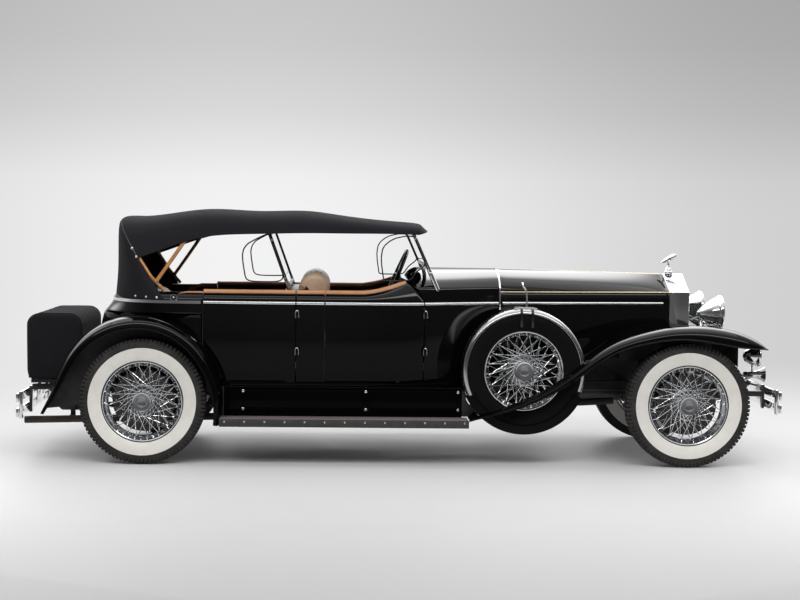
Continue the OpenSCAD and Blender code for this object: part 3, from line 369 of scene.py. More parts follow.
def rubber(name, colour, stain, amount, shine=0.35):
    """Rubber with worn, stained patches."""
    skin = Finish(name, Specular_IOR_Level=shine)
    where = skin.place()
    worn = skin.noise(where, 14.0, 6.0, 0.62)
    fine = skin.noise(where, 420.0, 2.0)
    skin.set(Base_Color=skin.mix(worn.step(0.4, 0.75) * amount, colour, stain))
    skin.set(Roughness=worn * 0.25 + 0.5)
    skin.set(Normal=skin.bump(fine + worn, 0.0006, 0.35))
    return skin.material


def cloth(name, dark, light, pitch, sheen):
    """Woven cloth: crossing threads on the piece's own UV map, in metres."""
    weave = Finish(name, Sheen_Weight=sheen, Sheen_Roughness=0.45, Specular_IOR_Level=0.08)
    across, along, _ = weave.split(weave.node("UVMap"))
    turn = 2 * math.pi / pitch
    warp = (across * turn).math("SINE")
    weft = (along * turn).math("SINE")
    thread = warp * weft * 0.5 + 0.5
    fade = weave.noise(weave.place(), 2.2, 5.0, 0.6)
    lint = weave.noise(weave.place(), 90.0, 2.0)
    tone = thread * 0.35 + fade * 0.5 + lint * 0.15
    weave.set(Base_Color=weave.mix(tone, dark, light))
    weave.set(Roughness=fade * 0.12 + 0.80)
    weave.set(Normal=weave.bump(thread + lint * 0.5, 0.0007, 0.6))
    return weave.material


def leather(name, colour, worn_colour, crease=0.5):
    """Hide with pores, creases and worn patches."""
    hide = Finish(name, Specular_IOR_Level=0.45)
    where = hide.place()
    pores = hide.node("TexVoronoi", {"feature": "DISTANCE_TO_EDGE"}, {"Vector": where, "Scale": 230.0})
    patches = hide.noise(where, 5.0, 5.0, 0.6)
    creases = hide.noise(hide.stretched(where, (26.0, 11.0, 26.0)), 1.0, 6.0, 0.65)
    tone = patches.step(0.3, 0.75)
    hide.set(Base_Color=hide.mix(tone, colour, worn_colour))
    hide.set(Roughness=patches * 0.22 + 0.30)
    hide.set(Normal=hide.bump(pores.step(0.0, 0.2) * 0.5 + creases * crease, 0.0012, 0.45))
    return hide.material


def timber(name, pale, deep, run, gloss):
    """Varnished wood. run is the stretch of the grain along x, y and z."""
    plank = Finish(name, Coat_Weight=0.6, Coat_Roughness=0.08)
    where = plank.place()
    wavy = plank.noise(plank.stretched(where, run), 1.0, 7.0, 0.6)
    rings = ((wavy * 34.0).math("SINE") * 0.5 + 0.5) * 0.6 + wavy * 0.4
    pores = plank.noise(plank.stretched(where, tuple(9 * r for r in run)), 1.0, 3.0)
    plank.set(Base_Color=plank.mix(rings, pale, deep))
    plank.set(Roughness=pores * 0.15 + gloss)
    plank.set(Normal=plank.bump(pores, 0.0003, 0.4))
    return plank.material


tyre_black = rubber("tyre_black", (0.018, 0.017, 0.017), (0.052, 0.046, 0.042), 0.6, 0.25)
spare_black = rubber("spare_black", (0.0012, 0.0012, 0.0012), (0.003, 0.0028, 0.0026), 0.5, 0.10)
tyre_white = rubber("tyre_white", (0.70, 0.68, 0.64), (0.60, 0.57, 0.52), 0.5)
board_edge = rubber("board_edge", (0.030, 0.028, 0.029), (0.060, 0.055, 0.054), 0.5)
black_canvas = cloth("black_canvas", (0.0095, 0.0095, 0.0115), (0.022, 0.022, 0.026), 0.0022, 0.03)
piping_cloth = cloth("piping_cloth", (0.15, 0.15, 0.155), (0.24, 0.24, 0.245), 0.0022, 0.05)
trunk_cloth = cloth("trunk_cloth", (0.006, 0.006, 0.0075), (0.015, 0.015, 0.018), 0.0026, 0.05)
tan_leather = leather("tan_leather", (0.42, 0.29, 0.20), (0.32, 0.21, 0.135))
rail_leather = leather("rail_leather", (0.48, 0.235, 0.115), (0.37, 0.17, 0.075), 0.3)
brown_lining = leather("brown_lining", (0.046, 0.030, 0.016), (0.03, 0.02, 0.011))
bow_ash = timber("bow_ash", (0.52, 0.25, 0.075), (0.36, 0.145, 0.04), (4.0, 30.0, 9.0), 0.26)
dash_walnut = timber("dash_walnut", (0.20, 0.085, 0.03), (0.06, 0.022, 0.01), (9.0, 3.0, 14.0), 0.14)
print("with rubber, cloth, leather and wood", len(bpy.data.materials))

# %% Glass and matting
pane_glass = Finish("pane_glass", Transmission_Weight=1.0, IOR=1.03, Base_Color=(0.992, 0.996, 0.994))
pane_glass.set(Roughness=pane_glass.noise(pane_glass.place(), 6.0, 4.0).step(0.45, 0.9) * 0.03)
lens_glass = Finish("lens_glass", Transmission_Weight=1.0, IOR=1.3, Base_Color=(0.97, 0.98, 0.98))
flutes = (lens_glass.split(lens_glass.place())[1] * 520.0).math("SINE")
lens_glass.set(Roughness=lens_glass.noise(lens_glass.place(), 40.0) * 0.05)
lens_glass.set(Normal=lens_glass.bump(flutes, 0.0012, 0.5))
ribbed = Finish("board_mat", Specular_IOR_Level=0.3)
mat_place = ribbed.place()
ribs = (ribbed.split(mat_place)[1] * (2 * math.pi / 0.014)).math("SINE") * 0.5 + 0.5
scuff = ribbed.noise(mat_place, 6.0, 6.0, 0.6)
ribbed.set(Base_Color=ribbed.mix(ribs * 0.6 + scuff * 0.4, (0.085, 0.064, 0.064), (0.21, 0.165, 0.165)))
ribbed.set(Roughness=scuff * 0.2 + 0.5, Normal=ribbed.bump(ribs, 0.002, 0.7))
board_mat = ribbed.material
pile = Finish("carpet", Sheen_Weight=0.3, Roughness=0.95)
tuft = pile.noise(pile.place(), 480.0, 3.0)
pile.set(Base_Color=pile.mix(tuft, (0.018, 0.012, 0.009), (0.075, 0.052, 0.036)))
pile.set(Normal=pile.bump(tuft, 0.003, 0.8))
carpet = pile.material
print("finishes", len(bpy.data.materials))

# %% [markdown]
# ## Curves and meshes
# A car body is drawn as stations along its length and lines up its side. A grid of points between
# two such families makes a panel; a second grid behind it gives the panel its thickness.

# %% Smooth curves through a table


def table_parts(keys, values):
    """A table as arrays, with the gaps between its keys and the slopes across them."""
    keys = np.asarray(keys, float)
    values = np.asarray(values, float).reshape(len(keys), -1)
    gaps = np.diff(keys)
    return keys, values, gaps, np.diff(values, axis=0) / gaps[:, None]


def easy_curve(keys, values):
    """Smooth curve through a table that never swings past its points."""
    keys, values, gaps, slopes = table_parts(keys, values)
    tangent = np.zeros_like(values)
    tangent[0], tangent[-1] = slopes[0], slopes[-1]
    before, after = slopes[:-1], slopes[1:]
    with np.errstate(divide="ignore", invalid="ignore"):
        mean = 2 * before * after / (before + after)
    tangent[1:-1] = np.where(before * after > 0, mean, 0)
    return lambda t: hermite(keys, values, tangent, gaps, t)


def fair_curve(keys, values):
    """Smooth curve through a table with no kink in its curvature, as a bent batten lies."""
    keys, values, gaps, slopes = table_parts(keys, values)
    count = len(keys)
    system = np.zeros((count, count))
    sums = np.zeros_like(values)
    system[0, :2] = 2, 1
    system[-1, -2:] = 1, 2
    sums[0], sums[-1] = 3 * slopes[0], 3 * slopes[-1]
    for i in range(1, count - 1):
        system[i, i - 1 : i + 2] = gaps[i], 2 * (gaps[i - 1] + gaps[i]), gaps[i - 1]
        sums[i] = 3 * (gaps[i] * slopes[i - 1] + gaps[i - 1] * slopes[i])
    tangent = np.linalg.solve(system, sums)
    return lambda t: hermite(keys, values, tangent, gaps, t)


def hermite(keys, values, tangent, gaps, t):
    """Values of a curve with given tangents at its keys."""
    t = np.clip(np.asarray(t, float), keys[0], keys[-1])
    i = np.clip(np.searchsorted(keys, t) - 1, 0, len(gaps) - 1)
    s = ((t - keys[i]) / gaps[i])[..., None]
    run = gaps[i][..., None]
    return (
        values[i] * (1 + 2 * s) * (1 - s) ** 2
        + values[i + 1] * s * s * (3 - 2 * s)
        + run * (tangent[i] * s * (1 - s) ** 2 + tangent[i + 1] * s * s * (s - 1))
    )


def mix(a, b, t):
    return a + (b - a) * t


def run_length(path):
    """Distance along a path at each of its points."""
    return np.concatenate([[0], np.cumsum(np.linalg.norm(np.diff(path, axis=0), axis=1))])


def batten(points, count):
    """A smooth path through points, evenly spaced along its length."""
    points = np.array([tuple(p) for p in points], float)
    run = run_length(points)
    return easy_curve(run, points)(np.linspace(0, run[-1], count))


print("top of a batten", batten([(0, 0), (1, 1), (2, 0)], 5)[2])

# %% Pieces and their edges


def new_piece(name, points, faces, finish, uv=None):
    """A mesh object from points in millimetres. uv gives one pair in metres for each point."""
    mesh = bpy.data.meshes.new(name)
    mesh.from_pydata((np.asarray(points, float) * MM).tolist(), [], faces)
    if uv is not None:
        layer = mesh.uv_layers.new(name="cut")
        corner = np.zeros(len(mesh.loops), int)
        mesh.loops.foreach_get("vertex_index", corner)
        layer.data.foreach_set("uv", np.asarray(uv, float)[corner].ravel())
    for material in finish if isinstance(finish, list) else [finish]:
        mesh.materials.append(material)
    piece = bpy.data.objects.new(name, mesh)
    scene.collection.objects.link(piece)
    return piece


def tidy(piece, sharp=40.0, outward=True):
    """Merges doubles, turns faces outward and shades all but the sharp edges smooth."""
    work = bmesh.new()
    work.from_mesh(piece.data)
    bmesh.ops.remove_doubles(work, verts=work.verts, dist=0.00002)
    if outward:
        bmesh.ops.recalc_face_normals(work, faces=work.faces)
    work.to_mesh(piece.data)
    work.free()
    piece.data.polygons.foreach_set("use_smooth", [True] * len(piece.data.polygons))
    piece.data.set_sharp_from_angle(angle=math.radians(sharp))
    return piece


def settle(piece):
    """Applies every modifier, so that the piece is a plain mesh."""
    graph = bpy.context.evaluated_depsgraph_get()
    shown = piece.evaluated_get(graph)
    made = bpy.data.meshes.new_from_object(shown, preserve_all_data_layers=True, depsgraph=graph)
    piece.modifiers.clear()
    old = piece.data
    piece.data = made
    made.name = old.name
    bpy.data.meshes.remove(old)
    return piece


def softened(piece, width):
    """Rounds the sharp edges over a width in millimetres."""
    bevel = piece.modifiers.new("rounded_edges", "BEVEL")
    bevel.width = width * MM
    bevel.segments = 2
    bevel.limit_method = "ANGLE"
    bevel.angle_limit = math.radians(40.0)
    bevel.use_clamp_overlap = True
    settle(piece)
    return tidy(piece, 48.0, False)


def wear(piece, body, *nodes):
    """The piece rides on a body and stands for the named frame nodes."""
    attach(piece, body)
    if nodes:
        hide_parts(*nodes)
    return piece


# %% Panels from grids


def grid_faces(rows, cols, start=0, flip=False):
    faces = []
    for i in range(rows - 1):
        for j in range(cols - 1):
            a = start + i * cols + j
            quad = (a, a + 1, a + cols + 1, a + cols)
            faces.append(quad[::-1] if flip else quad)
    return faces


def panel(name, outer, inner, finish, edge=2.5):
    """A closed panel between two grids of points. A second finish lines its inner side."""
    rows, cols = outer.shape[:2]
    count = rows * cols
    faces = grid_faces(rows, cols) + grid_faces(rows, cols, count, True)
    rim = [i * cols for i in range(rows)]
    rim += [(rows - 1) * cols + j for j in range(1, cols)]
    rim += [i * cols + cols - 1 for i in range(rows - 2, -1, -1)]
    rim += [j for j in range(cols - 2, 0, -1)]
    for a, b in zip(rim, rim[1:] + rim[:1]):
        faces.append((a, b, b + count, a + count))
    piece = new_piece(name, np.concatenate([outer.reshape(-1, 3), inner.reshape(-1, 3)]), faces, finish)
    if isinstance(finish, list):
        sheet = (rows - 1) * (cols - 1)
        for face in piece.data.polygons[sheet : 2 * sheet]:
            face.material_index = 1
    tidy(piece)
    return softened(piece, edge) if edge else piece


def each_side(outer, inner, sides=(1, -1)):
    """A panel's two grids, for the right side (1) and for the left (-1)."""
    return [(outer * (1, s, 1), inner * (1, s, 1)) for s in sides]


def panels(name, groups, finish, edge=2.5):
    """Several closed panels as one piece."""
    made = [panel(f"{name}_{k}", outer, inner, finish, edge) for k, (outer, inner) in enumerate(groups)]
    return merged(name, made)


def merged(name, made):
    """Joins pieces into one, under a name."""
    work = bmesh.new()
    finishes = []
    for piece in made:
        for material in piece.data.materials:
            if material not in finishes:
                finishes.append(material)
    for piece in made:
        slots = [finishes.index(m) for m in piece.data.materials]
        before = len(work.faces)
        work.from_mesh(piece.data)
        work.faces.ensure_lookup_table()
        for face in work.faces[before:]:
            face.material_index = slots[face.material_index]
    mesh = bpy.data.meshes.new(name)
    work.to_mesh(mesh)
    work.free()
    for material in finishes:
        mesh.materials.append(material)
    for piece in made:
        old = piece.data
        bpy.data.objects.remove(piece)
        bpy.data.meshes.remove(old)
    whole = bpy.data.objects.new(name, mesh)
    scene.collection.objects.link(whole)
    return whole


print("faces of a grid of 3 by 4 points", len(grid_faces(3, 4)))

# %% Tubes and turned shapes


def tube(path, radius, sides=10, close=False):
    """Points, faces and UVs of a round tube along a path in millimetres."""
    path = np.asarray(path, float)
    ahead = np.gradient(path, axis=0)
    if close:
        ahead = np.roll(path, -1, 0) - np.roll(path, 1, 0)
    ahead /= np.linalg.norm(ahead, axis=1)[:, None]
    normal = np.cross(ahead[0], (0.31, 0.17, 0.93))
    points, uv = [], []
    for p, d, run in zip(path, ahead, run_length(path)):
        normal = normal - d * normal.dot(d)
        normal /= np.linalg.norm(normal)
        side = np.cross(d, normal)
        for k in range(sides):
            a = 2 * math.pi * k / sides
            points.append(p + radius * (math.cos(a) * normal + math.sin(a) * side))
            uv.append((radius * a * MM, run * MM))
    n = len(path)
    faces = []
    for i in range(n if close else n - 1):
        for k in range(sides):
            a, b = i * sides + k, i * sides + (k + 1) % sides
            c, d = (i + 1) % n * sides + (k + 1) % sides, (i + 1) % n * sides + k
            faces.append((a, b, c, d))
    if not close:
        faces += [tuple(range(sides))[::-1], tuple(range((n - 1) * sides, n * sides))]
    return np.array(points), faces, np.array(uv)


def joined(parts):
    """Several (points, faces, uv) groups as one."""
    points, faces, uv = [], [], []
    shift = 0
    for p, f, u in parts:
        points.append(p)
        uv.append(u)
        faces += [tuple(i + shift for i in face) for face in f]
        shift += len(p)
    return np.concatenate(points), faces, np.concatenate(uv)


def mirrored(parts):
    """The groups, with their copies on the car's other side."""
    return parts + [(p * (1, -1, 1), [f[::-1] for f in faces], uv) for p, faces, uv in parts]


def tubes(name, paths, radius, finish, both=True, sides=10):
    """Tubes along several paths as one piece, on both sides of the car or as given."""
    parts = [tube(path, radius, sides) for path in paths]
    points, faces, uv = joined(mirrored(parts) if both else parts)
    return tidy(new_piece(name, points, faces, finish, uv), 50.0)


def lathe(profile, centre, axis, start=0.0, sweep=360.0, steps=72):
    """Turns a profile of (radius, distance along the axis) round an axis through the centre."""
    axis = np.asarray(axis, float) / np.linalg.norm(axis)
    first = np.cross(axis, (0, 0, 1) if abs(axis[2]) < 0.9 else (1, 0, 0))
    first /= np.linalg.norm(first)
    second = np.cross(axis, first)
    full = sweep >= 360
    turns = np.radians(start + np.linspace(0, sweep, steps + (0 if full else 1), endpoint=not full))
    arms = [math.cos(a) * first + math.sin(a) * second for a in turns]
    profile = np.asarray(profile, float)
    centre = np.asarray(centre)
    points = np.concatenate([centre + profile[:, :1] * arm + profile[:, 1:] * axis for arm in arms])
    n = len(profile)
    faces = []
    for i in range(len(turns) if full else len(turns) - 1):
        for j in range(n - 1):
            a, b = i * n + j, (i + 1) % len(turns) * n + j
            faces.append((a, b, b + 1, a + 1))
    return points, faces, np.zeros((len(points), 2))


print("points of a short tube", len(tube([(0, 0, 0), (0, 0, 9)], 2.0)[0]))

# %% Copies of the frame's own parts


def dressed(node, body, finish, edge=0.0, pick=None):
    """A merged copy of a frame node, shaded smooth and with its sharp edges rounded.

    pick says of a face's centre, in millimetres, whether it takes the second finish.
    """
    piece = bpy.data.objects.new(node + "_dressed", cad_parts[node].data.copy())
    scene.collection.objects.link(piece)
    piece.data.materials.clear()
    for material in finish if isinstance(finish, list) else [finish]:
        piece.data.materials.append(material)
    work = bmesh.new()
    work.from_mesh(piece.data)
    bmesh.ops.remove_doubles(work, verts=work.verts, dist=0.00002)
    if edge:
        bmesh.ops.dissolve_limit(
            work, angle_limit=math.radians(1.0), verts=work.verts, edges=work.edges, delimit={"MATERIAL"}
        )
    for face in work.faces:
        face.material_index = int(pick(face.calc_center_median() / MM)) if pick else 0
    work.to_mesh(piece.data)
    work.free()
    tidy(piece, 35.0, False)
    if edge:
        softened(piece, edge)
    return wear(piece, body, node)


print("frame nodes", len(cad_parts))

# %% [markdown]
# ## Body sides
# The doors, posts and cowl share one plan, seen from above, and one section, seen from the front.
# Sampling the same two curves for every panel keeps the highlights running from door to door.

# %% Plan and section of the body
SILL, RAIL, BEAD, SHOULDER = 548.0, 1140.0, 1076.0, 1156.0
FRONT_HINGE, FRONT_SHUT = 150.0, -525.0
REAR_HINGE, REAR_SHUT = -712.0, -1338.0
BONNET_BACK, RADIATOR_BACK = 680.0, 1884.0
BONNET_TOP, RADIATOR_PEAK = 1302.0, 1277.0
COWL_HALF, RADIATOR_HALF = 452.0, 272.0
REAR_AXLE, FRONT_AXLE, AXLE_UP = -1724.0, 1921.0, 418.0
ARCH_R = 552.0
GAP = 6.0
BEND, RAIL_INSET, RAIL_LEAN = 1062.0, 48.0, 0.36
DOOR_LOW_WALL, DOOR_RAIL_WALL = 46.0, 32.0
flip_y = (1, -1, 1)
plan_curve = easy_curve(
    [REAR_SHUT, -950, FRONT_SHUT, -200, 0, FRONT_HINGE, 280, 420, 560, BONNET_BACK],
    [700, 714, 714, 704, 684, 652, 604, 548, 494, COWL_HALF],
)
low_inset = easy_curve([SILL, 698, 886, BEND], [24, 10, 2, 0])
high_inset = fair_curve([BEND, 1090, 1122, RAIL], [0, 3, 20, RAIL_INSET])


def half_w(x):
    """Half of the body's width at a station."""
    x = np.asarray(x, float)
    bonnet = mix(COWL_HALF, RADIATOR_HALF, (x - BONNET_BACK) / (RADIATOR_BACK - BONNET_BACK))
    return np.where(x > BONNET_BACK, bonnet, plan_curve(x)[..., 0])


def wall_inset(z):
    """How far the body's side stands in from its widest line at a height."""
    return np.where(z < BEND, low_inset(z)[..., 0], high_inset(z)[..., 0])


def rear_edge(z):
    """Edge of the rear door: straight above, round the wheel arch below."""
    return np.maximum(REAR_SHUT, REAR_AXLE + np.sqrt(np.maximum(0, ARCH_R**2 - (z - AXLE_UP) ** 2)))


def rail_rise(x):
    """The front door's top sweeps up to the cowl."""
    return 135 * (np.maximum(0, x + 280) / 430) ** 1.7


def side_grid(x_back, x_front, foot, slant, thick):
    """Points of a side panel's outer skin, or of its inner skin where thick is set."""
    heights = np.concatenate([np.linspace(foot, 1060, 22), np.linspace(1066, RAIL, 18)])
    rows = []
    for z in heights:
        lift = max(0.0, z - 1090) / (RAIL - 1090)
        x = np.linspace(x_back(z), x_front - slant * lift, 44)
        rise = rail_rise(x) * lift if slant else 0 * x
        inset = wall_inset(z) + (RAIL_LEAN * lift * rail_rise(x) if slant else 0)
        deep = mix(DOOR_LOW_WALL, DOOR_RAIL_WALL, lift) if thick else 0.0
        rows.append(np.stack([x, -(half_w(x) - inset - deep), z + rise], 1))
    return np.array(rows)


def rail_path(x_back, x_front, slant):
    """Middle of the top edge of a side panel."""
    x = np.linspace(x_back, x_front - slant, 40)
    rise = rail_rise(x) if slant else 0 * x
    inset = RAIL_INSET + DOOR_RAIL_WALL / 2 + (RAIL_LEAN * rail_rise(x) if slant else 0)
    return np.stack([x, -(half_w(x) - inset), RAIL + rise], 1)


print("rail", RAIL, "sill", SILL)

# %% Doors and posts
SIDES = {"right": 1.0, "left": -1.0}
DOORS = {
    # name: back edge at a height, front edge, foot, slant of the front edge at the rail
    "door_front": (lambda z: FRONT_SHUT + GAP, FRONT_HINGE - GAP, SILL + GAP, 118.0),
    "door_rear": (lambda z: float(rear_edge(z)) + GAP, REAR_HINGE - GAP, SILL + GAP, 0.0),
}


def side_panel(name, sides, back, front, foot, slant):
    """A door or a post on one or both sides, lined inside."""
    outer, inner = (side_grid(back, front, foot, slant, thick) for thick in (False, True))
    return panels(name, each_side(outer, inner, sides), [black_lacquer, brown_lining])


for door, (back, front, foot, slant) in DOORS.items():
    for side, s in SIDES.items():
        node = f"{door}_{side}"
        wear(side_panel(node + "_skin", [s], back, front, foot, slant), node, node)
posts = side_panel("door_posts_skin", [1, -1], lambda z: REAR_HINGE, FRONT_SHUT, SILL, 0.0)
wear(posts, "car", "door_posts")
print("doors", len(DOORS) * 2)

# %% [markdown]
# ## Cowl and bonnet
# Behind the bonnet the section is round; at the radiator it is two straight slopes.
# The top's section goes from one to the other along the bonnet, as a panel beater would draw it.

# %% Cowl
COWL_WALL, BONNET_TOP_WALL, BONNET_SIDE_WALL = 26.0, 12.0, 18.0
COWL_BACK = [150, 150, 101, 78, 56, 74, 98, 122, 130]
COWL_TURNS = [4, 14, 28, 44, 60, 75, 90]


def top_z(x):
    """Height of the bonnet's and cowl's middle line."""
    along = (x - BONNET_BACK) / (RADIATOR_BACK - BONNET_BACK)
    return np.where(along > 0, mix(BONNET_TOP, RADIATOR_PEAK, along), BONNET_TOP - along * 7.2)


def top_point(x, angle, thick):
    """A point of the bonnet's or cowl's top: 0 degrees at the shoulder, 90 in the middle."""
    width = half_w(x) - 20 - thick
    low = SHOULDER - thick / 2
    high = top_z(x) - thick - low
    peak = np.maximum(0, (x - BONNET_BACK) / (RADIATOR_BACK - BONNET_BACK)) ** 1.3
    a = np.radians(angle)
    out = width * mix(np.cos(a), 1 - angle / 90, peak)
    return np.stack([x, -out, low + high * mix(np.sin(a), angle / 90, peak)], -1)


def cowl_section(x_of, thick):
    """Half of the cowl's section; x_of gives the station for each place round it."""
    section = []
    for z in np.linspace(SILL, 1060, 20):
        x = x_of(0.0)
        section.append((x, -(float(half_w(x)) - float(wall_inset(z)) - thick), z))
    for s in np.linspace(0, len(COWL_BACK) - 1, 60):
        x = x_of(s)
        w = float(half_w(x)) - thick
        knots = [(-w, BEND), (-w + 3, 1090.0)]
        knots += [tuple(top_point(np.float64(x), a, thick)[1:]) for a in COWL_TURNS]
        y, z = fair_curve(range(len(knots)), knots)(s)
        section.append((x, min(y, 0.0), z))
    return section


def cowl_start(s, thick):
    """Station of the cowl's back edge at a place round its section."""
    return np.interp(s, range(len(COWL_BACK)), COWL_BACK) + (COWL_WALL if thick and s >= 2 else 0)


def cowl_grid(thick):
    rows = []
    for t in np.linspace(0, 1, 30):
        half = cowl_section(lambda s: mix(cowl_start(s, thick), BONNET_BACK - 0.3, t), thick)
        rows.append(half + [(x, -y, z) for x, y, z in half[-2::-1]])
    return np.array(rows)


wear(panels("cowl_skin", [(cowl_grid(0.0), cowl_grid(COWL_WALL))], black_lacquer), "car", "cowl")
print("cowl from", min(COWL_BACK), "to", BONNET_BACK)

# %% Bonnet
BONNET_XS = np.linspace(BONNET_BACK + 0.5, RADIATOR_BACK - 0.5, 30)


def bonnet_top(thick):
    turns = np.linspace(3, 88.3, 26)
    return np.array([[top_point(x, a, thick) for a in turns] for x in BONNET_XS])


def bonnet_side(thick):
    zs = np.concatenate([np.linspace(700, BEND, 12), np.linspace(1068, 1146, 8)])
    inset = easy_curve([700, 900, 1089, 1146], [6, 0, 2, 17])(zs)[:, 0]
    return np.array([[(x, -(float(half_w(x)) - i - thick), z) for z, i in zip(zs, inset)] for x in BONNET_XS])


bonnet_parts = [
    panels("bonnet_tops", each_side(bonnet_top(0), bonnet_top(BONNET_TOP_WALL)), black_lacquer),
    panels("bonnet_sides", each_side(bonnet_side(0), bonnet_side(BONNET_SIDE_WALL)), black_lacquer),
]
hinge_xs = np.linspace(BONNET_BACK + 1, RADIATOR_BACK - 1, 24)
shoulder_line = np.stack([hinge_xs, -half_w(hinge_xs) + 22, 0 * hinge_xs + SHOULDER - 4], 1)
middle_line = np.stack([hinge_xs, 0 * hinge_xs, top_z(hinge_xs) - 6], 1)
bonnet_parts.append(tubes("bonnet_shoulder_hinges", [shoulder_line], 6.0, bonnet_brass))
bonnet_parts.append(tubes("bonnet_middle_hinge", [middle_line], 6.0, bonnet_brass, both=False))
print("bonnet parts", len(bonnet_parts))
wear(merged("bonnet_skin", bonnet_parts), "car", "bonnet")

# %% [markdown]
# ## Rear of the body
# The tub behind the rear doors is a D in plan, narrow between the wheels and wider above the wings.

# %% Tub
TUB_ROWS = [
    # height, half width, back end
    (SILL, 598, -2058), (690, 604, -2078), (850, 606, -2090), (985, 606, -2064), (998, 699, -2050),
    (BEND, 700, -2003), (1090, 697, -1994), (1122, 678, -1974), (RAIL, 652, -1952),
]
TUB_WALL, TUB_BOW = 40.0, 2 / 2.7


def tub_grid(thick):
    """The tub's outer skin, or its inner skin at a thickness. The plan is a rounded D."""
    zs = np.concatenate([np.linspace(SILL, 985, 16), np.linspace(998, BEND, 6), np.linspace(1068, RAIL, 12)])
    table = easy_curve([r[0] for r in TUB_ROWS], [r[1:] for r in TUB_ROWS])(zs)
    turns = np.radians(np.linspace(0, 180, 90))
    c, s = np.cos(turns), np.sin(turns)
    rows = []
    for z, (width, back) in zip(zs, table):
        x0 = float(rear_edge(z))
        y = -(width - thick) * np.sign(c) * np.abs(c) ** TUB_BOW
        x = x0 - (x0 - back - thick) * np.abs(s) ** TUB_BOW
        lift = 30 if thick and 980 < z < 1000 else 0
        rows.append(np.stack([x, y, 0 * x + z + lift], 1))
    return np.array(rows)


tub = panels("tub_skin", [(tub_grid(0.0), tub_grid(TUB_WALL))], [black_lacquer, brown_lining])
wear(tub, "car", "tub_rear")
print("tub faces", len(tub.data.polygons))

# %% [markdown]
# ## Wings
# The front wing is one long sweep from its nose, over the wheel, down to the running board.
# Its table gives the inner edge, the crown and the lip at each station; a fair curve joins them.
# A wire is rolled into the lip, as tinsmiths do to stiffen an edge, and it catches the light.

# %% Wing shapes
WING_OUT, WING_IN, WING_WALL = 866.0, 608.0, 5.0
FRONT_WING = [
    # x, then the height and half width of the inner edge, of the crown and of the lip
    (2448, 800, 610, 806, 700, 800, 790), (2420, 810, 590, 832, 705, 806, 828),
    (2360, 826, 560, 872, 712, 810, 852), (2250, 852, 510, 916, 718, 818, WING_OUT),
    (2120, 880, 440, 942, 720, 838, WING_OUT), (2000, 915, 360, 952, 720, 858, WING_OUT),
    (1880, 948, 292, 950, 720, 868, WING_OUT), (1760, 952, 305, 938, 720, 862, WING_OUT),
    (1620, 925, 326, 908, 720, 838, WING_OUT), (1480, 850, 348, 866, 722, 800, WING_OUT),
    (1340, 750, 370, 800, 724, 730, WING_OUT), (1200, 668, 392, 700, 728, 630, WING_OUT),
    (1060, 606, 412, 594, 732, 536, WING_OUT), (920, 560, 434, 508, 736, 462, WING_OUT),
    (780, 520, 456, 440, 742, 404, WING_OUT), (640, 470, 530, 384, 748, 362, WING_OUT),
    (540, 400, 630, 350, 756, 338, WING_OUT), (442, 319, 699, 324, 770, 312, WING_OUT),
]
REAR_WING = [
    # turn round the axle in degrees, radius of the lip, height of the crown above it
    (-17, 500, 26), (-6, 484, 38), (8, 474, 50), (22, 464, 60), (36, 460, 68), (50, 466, 72),
    (64, 476, 72), (78, 486, 72), (92, 493, 72), (106, 499, 72), (120, 505, 70), (134, 510, 66),
    (148, 514, 60), (160, 522, 52), (170, 545, 42), (179, 585, 32), (187, 645, 22),
]
REAR_SECTION = [
    # share of the way out from the body, share of the crown's height
    (0, 0.94), (0.22, 1), (0.46, 1.0), (0.66, 0.95), (0.82, 0.82), (0.92, 0.62), (0.975, 0.36), (1, 0),
]
INWARD = 22


def front_wing_grid():
    table = np.array(FRONT_WING, float)
    steps = np.linspace(0, len(table) - 1, 130)
    inward = np.linspace(0, 1, INWARD)[:-1]
    swell = (1 - np.cos(np.pi * inward)) / 2
    turns = np.radians(np.linspace(90, 0, 26))
    out, up = np.clip(np.cos(turns), 0, 1) ** 0.75, np.sin(turns) ** 0.75
    rows = []
    for x, z_in, y_in, z_top, y_top, z_lip, y_lip in fair_curve(range(len(table)), table)(steps):
        y = np.concatenate([mix(y_in, y_top, inward), y_top + (y_lip - y_top) * out])
        z = np.concatenate([mix(z_in, z_top, swell), z_lip + (z_top - z_lip) * up])
        rows.append(np.stack([0 * y + x, -y, z], 1))
    return np.array(rows)


def rear_wing_grid():
    table = np.array(REAR_WING, float)
    steps = np.linspace(0, len(table) - 1, 120)
    shares = np.linspace(0, 1, 36) ** 0.8
    crown = fair_curve([c[0] for c in REAR_SECTION], [c[1] for c in REAR_SECTION])(shares)[:, 0]
    y = -mix(WING_IN, WING_OUT, shares)
    rows = []
    for angle, lip, height in fair_curve(range(len(table)), table)(steps):
        a = math.radians(angle)
        r = lip + height * crown
        rows.append(np.stack([REAR_AXLE + r * math.cos(a), y, AXLE_UP + r * math.sin(a)], 1))
    return np.array(rows)


front_grid = front_wing_grid()
rear_grid = rear_wing_grid()
print("wing grids", front_grid.shape, rear_grid.shape)

# %% Wing skins
SPARE = np.array([814.0, -690.0, 640.0])
SPARE_SLOT = [(0, -100), (426, -100), (426, 100), (0, 100)]


def skin(name, grids, thick, finish, flips, uv=None):
    """Open sheets given a thickness in millimetres on their inner side."""
    parts = []
    for grid, flip in zip(grids, flips):
        rows, cols = grid.shape[:2]
        spread = np.zeros((rows * cols, 2)) if uv is None else uv
        parts.append((grid.reshape(-1, 3), grid_faces(rows, cols, 0, flip), spread))
    points, faces, spread = joined(parts)
    piece = new_piece(name, points, faces, finish, spread)
    tidy(piece, 60.0, False)
    wall = piece.modifiers.new("thickness", "SOLIDIFY")
    wall.thickness = thick * MM
    wall.offset = -1
    wall.use_rim = True
    wall.use_even_offset = True
    settle(piece)
    return tidy(piece, 60.0, False)


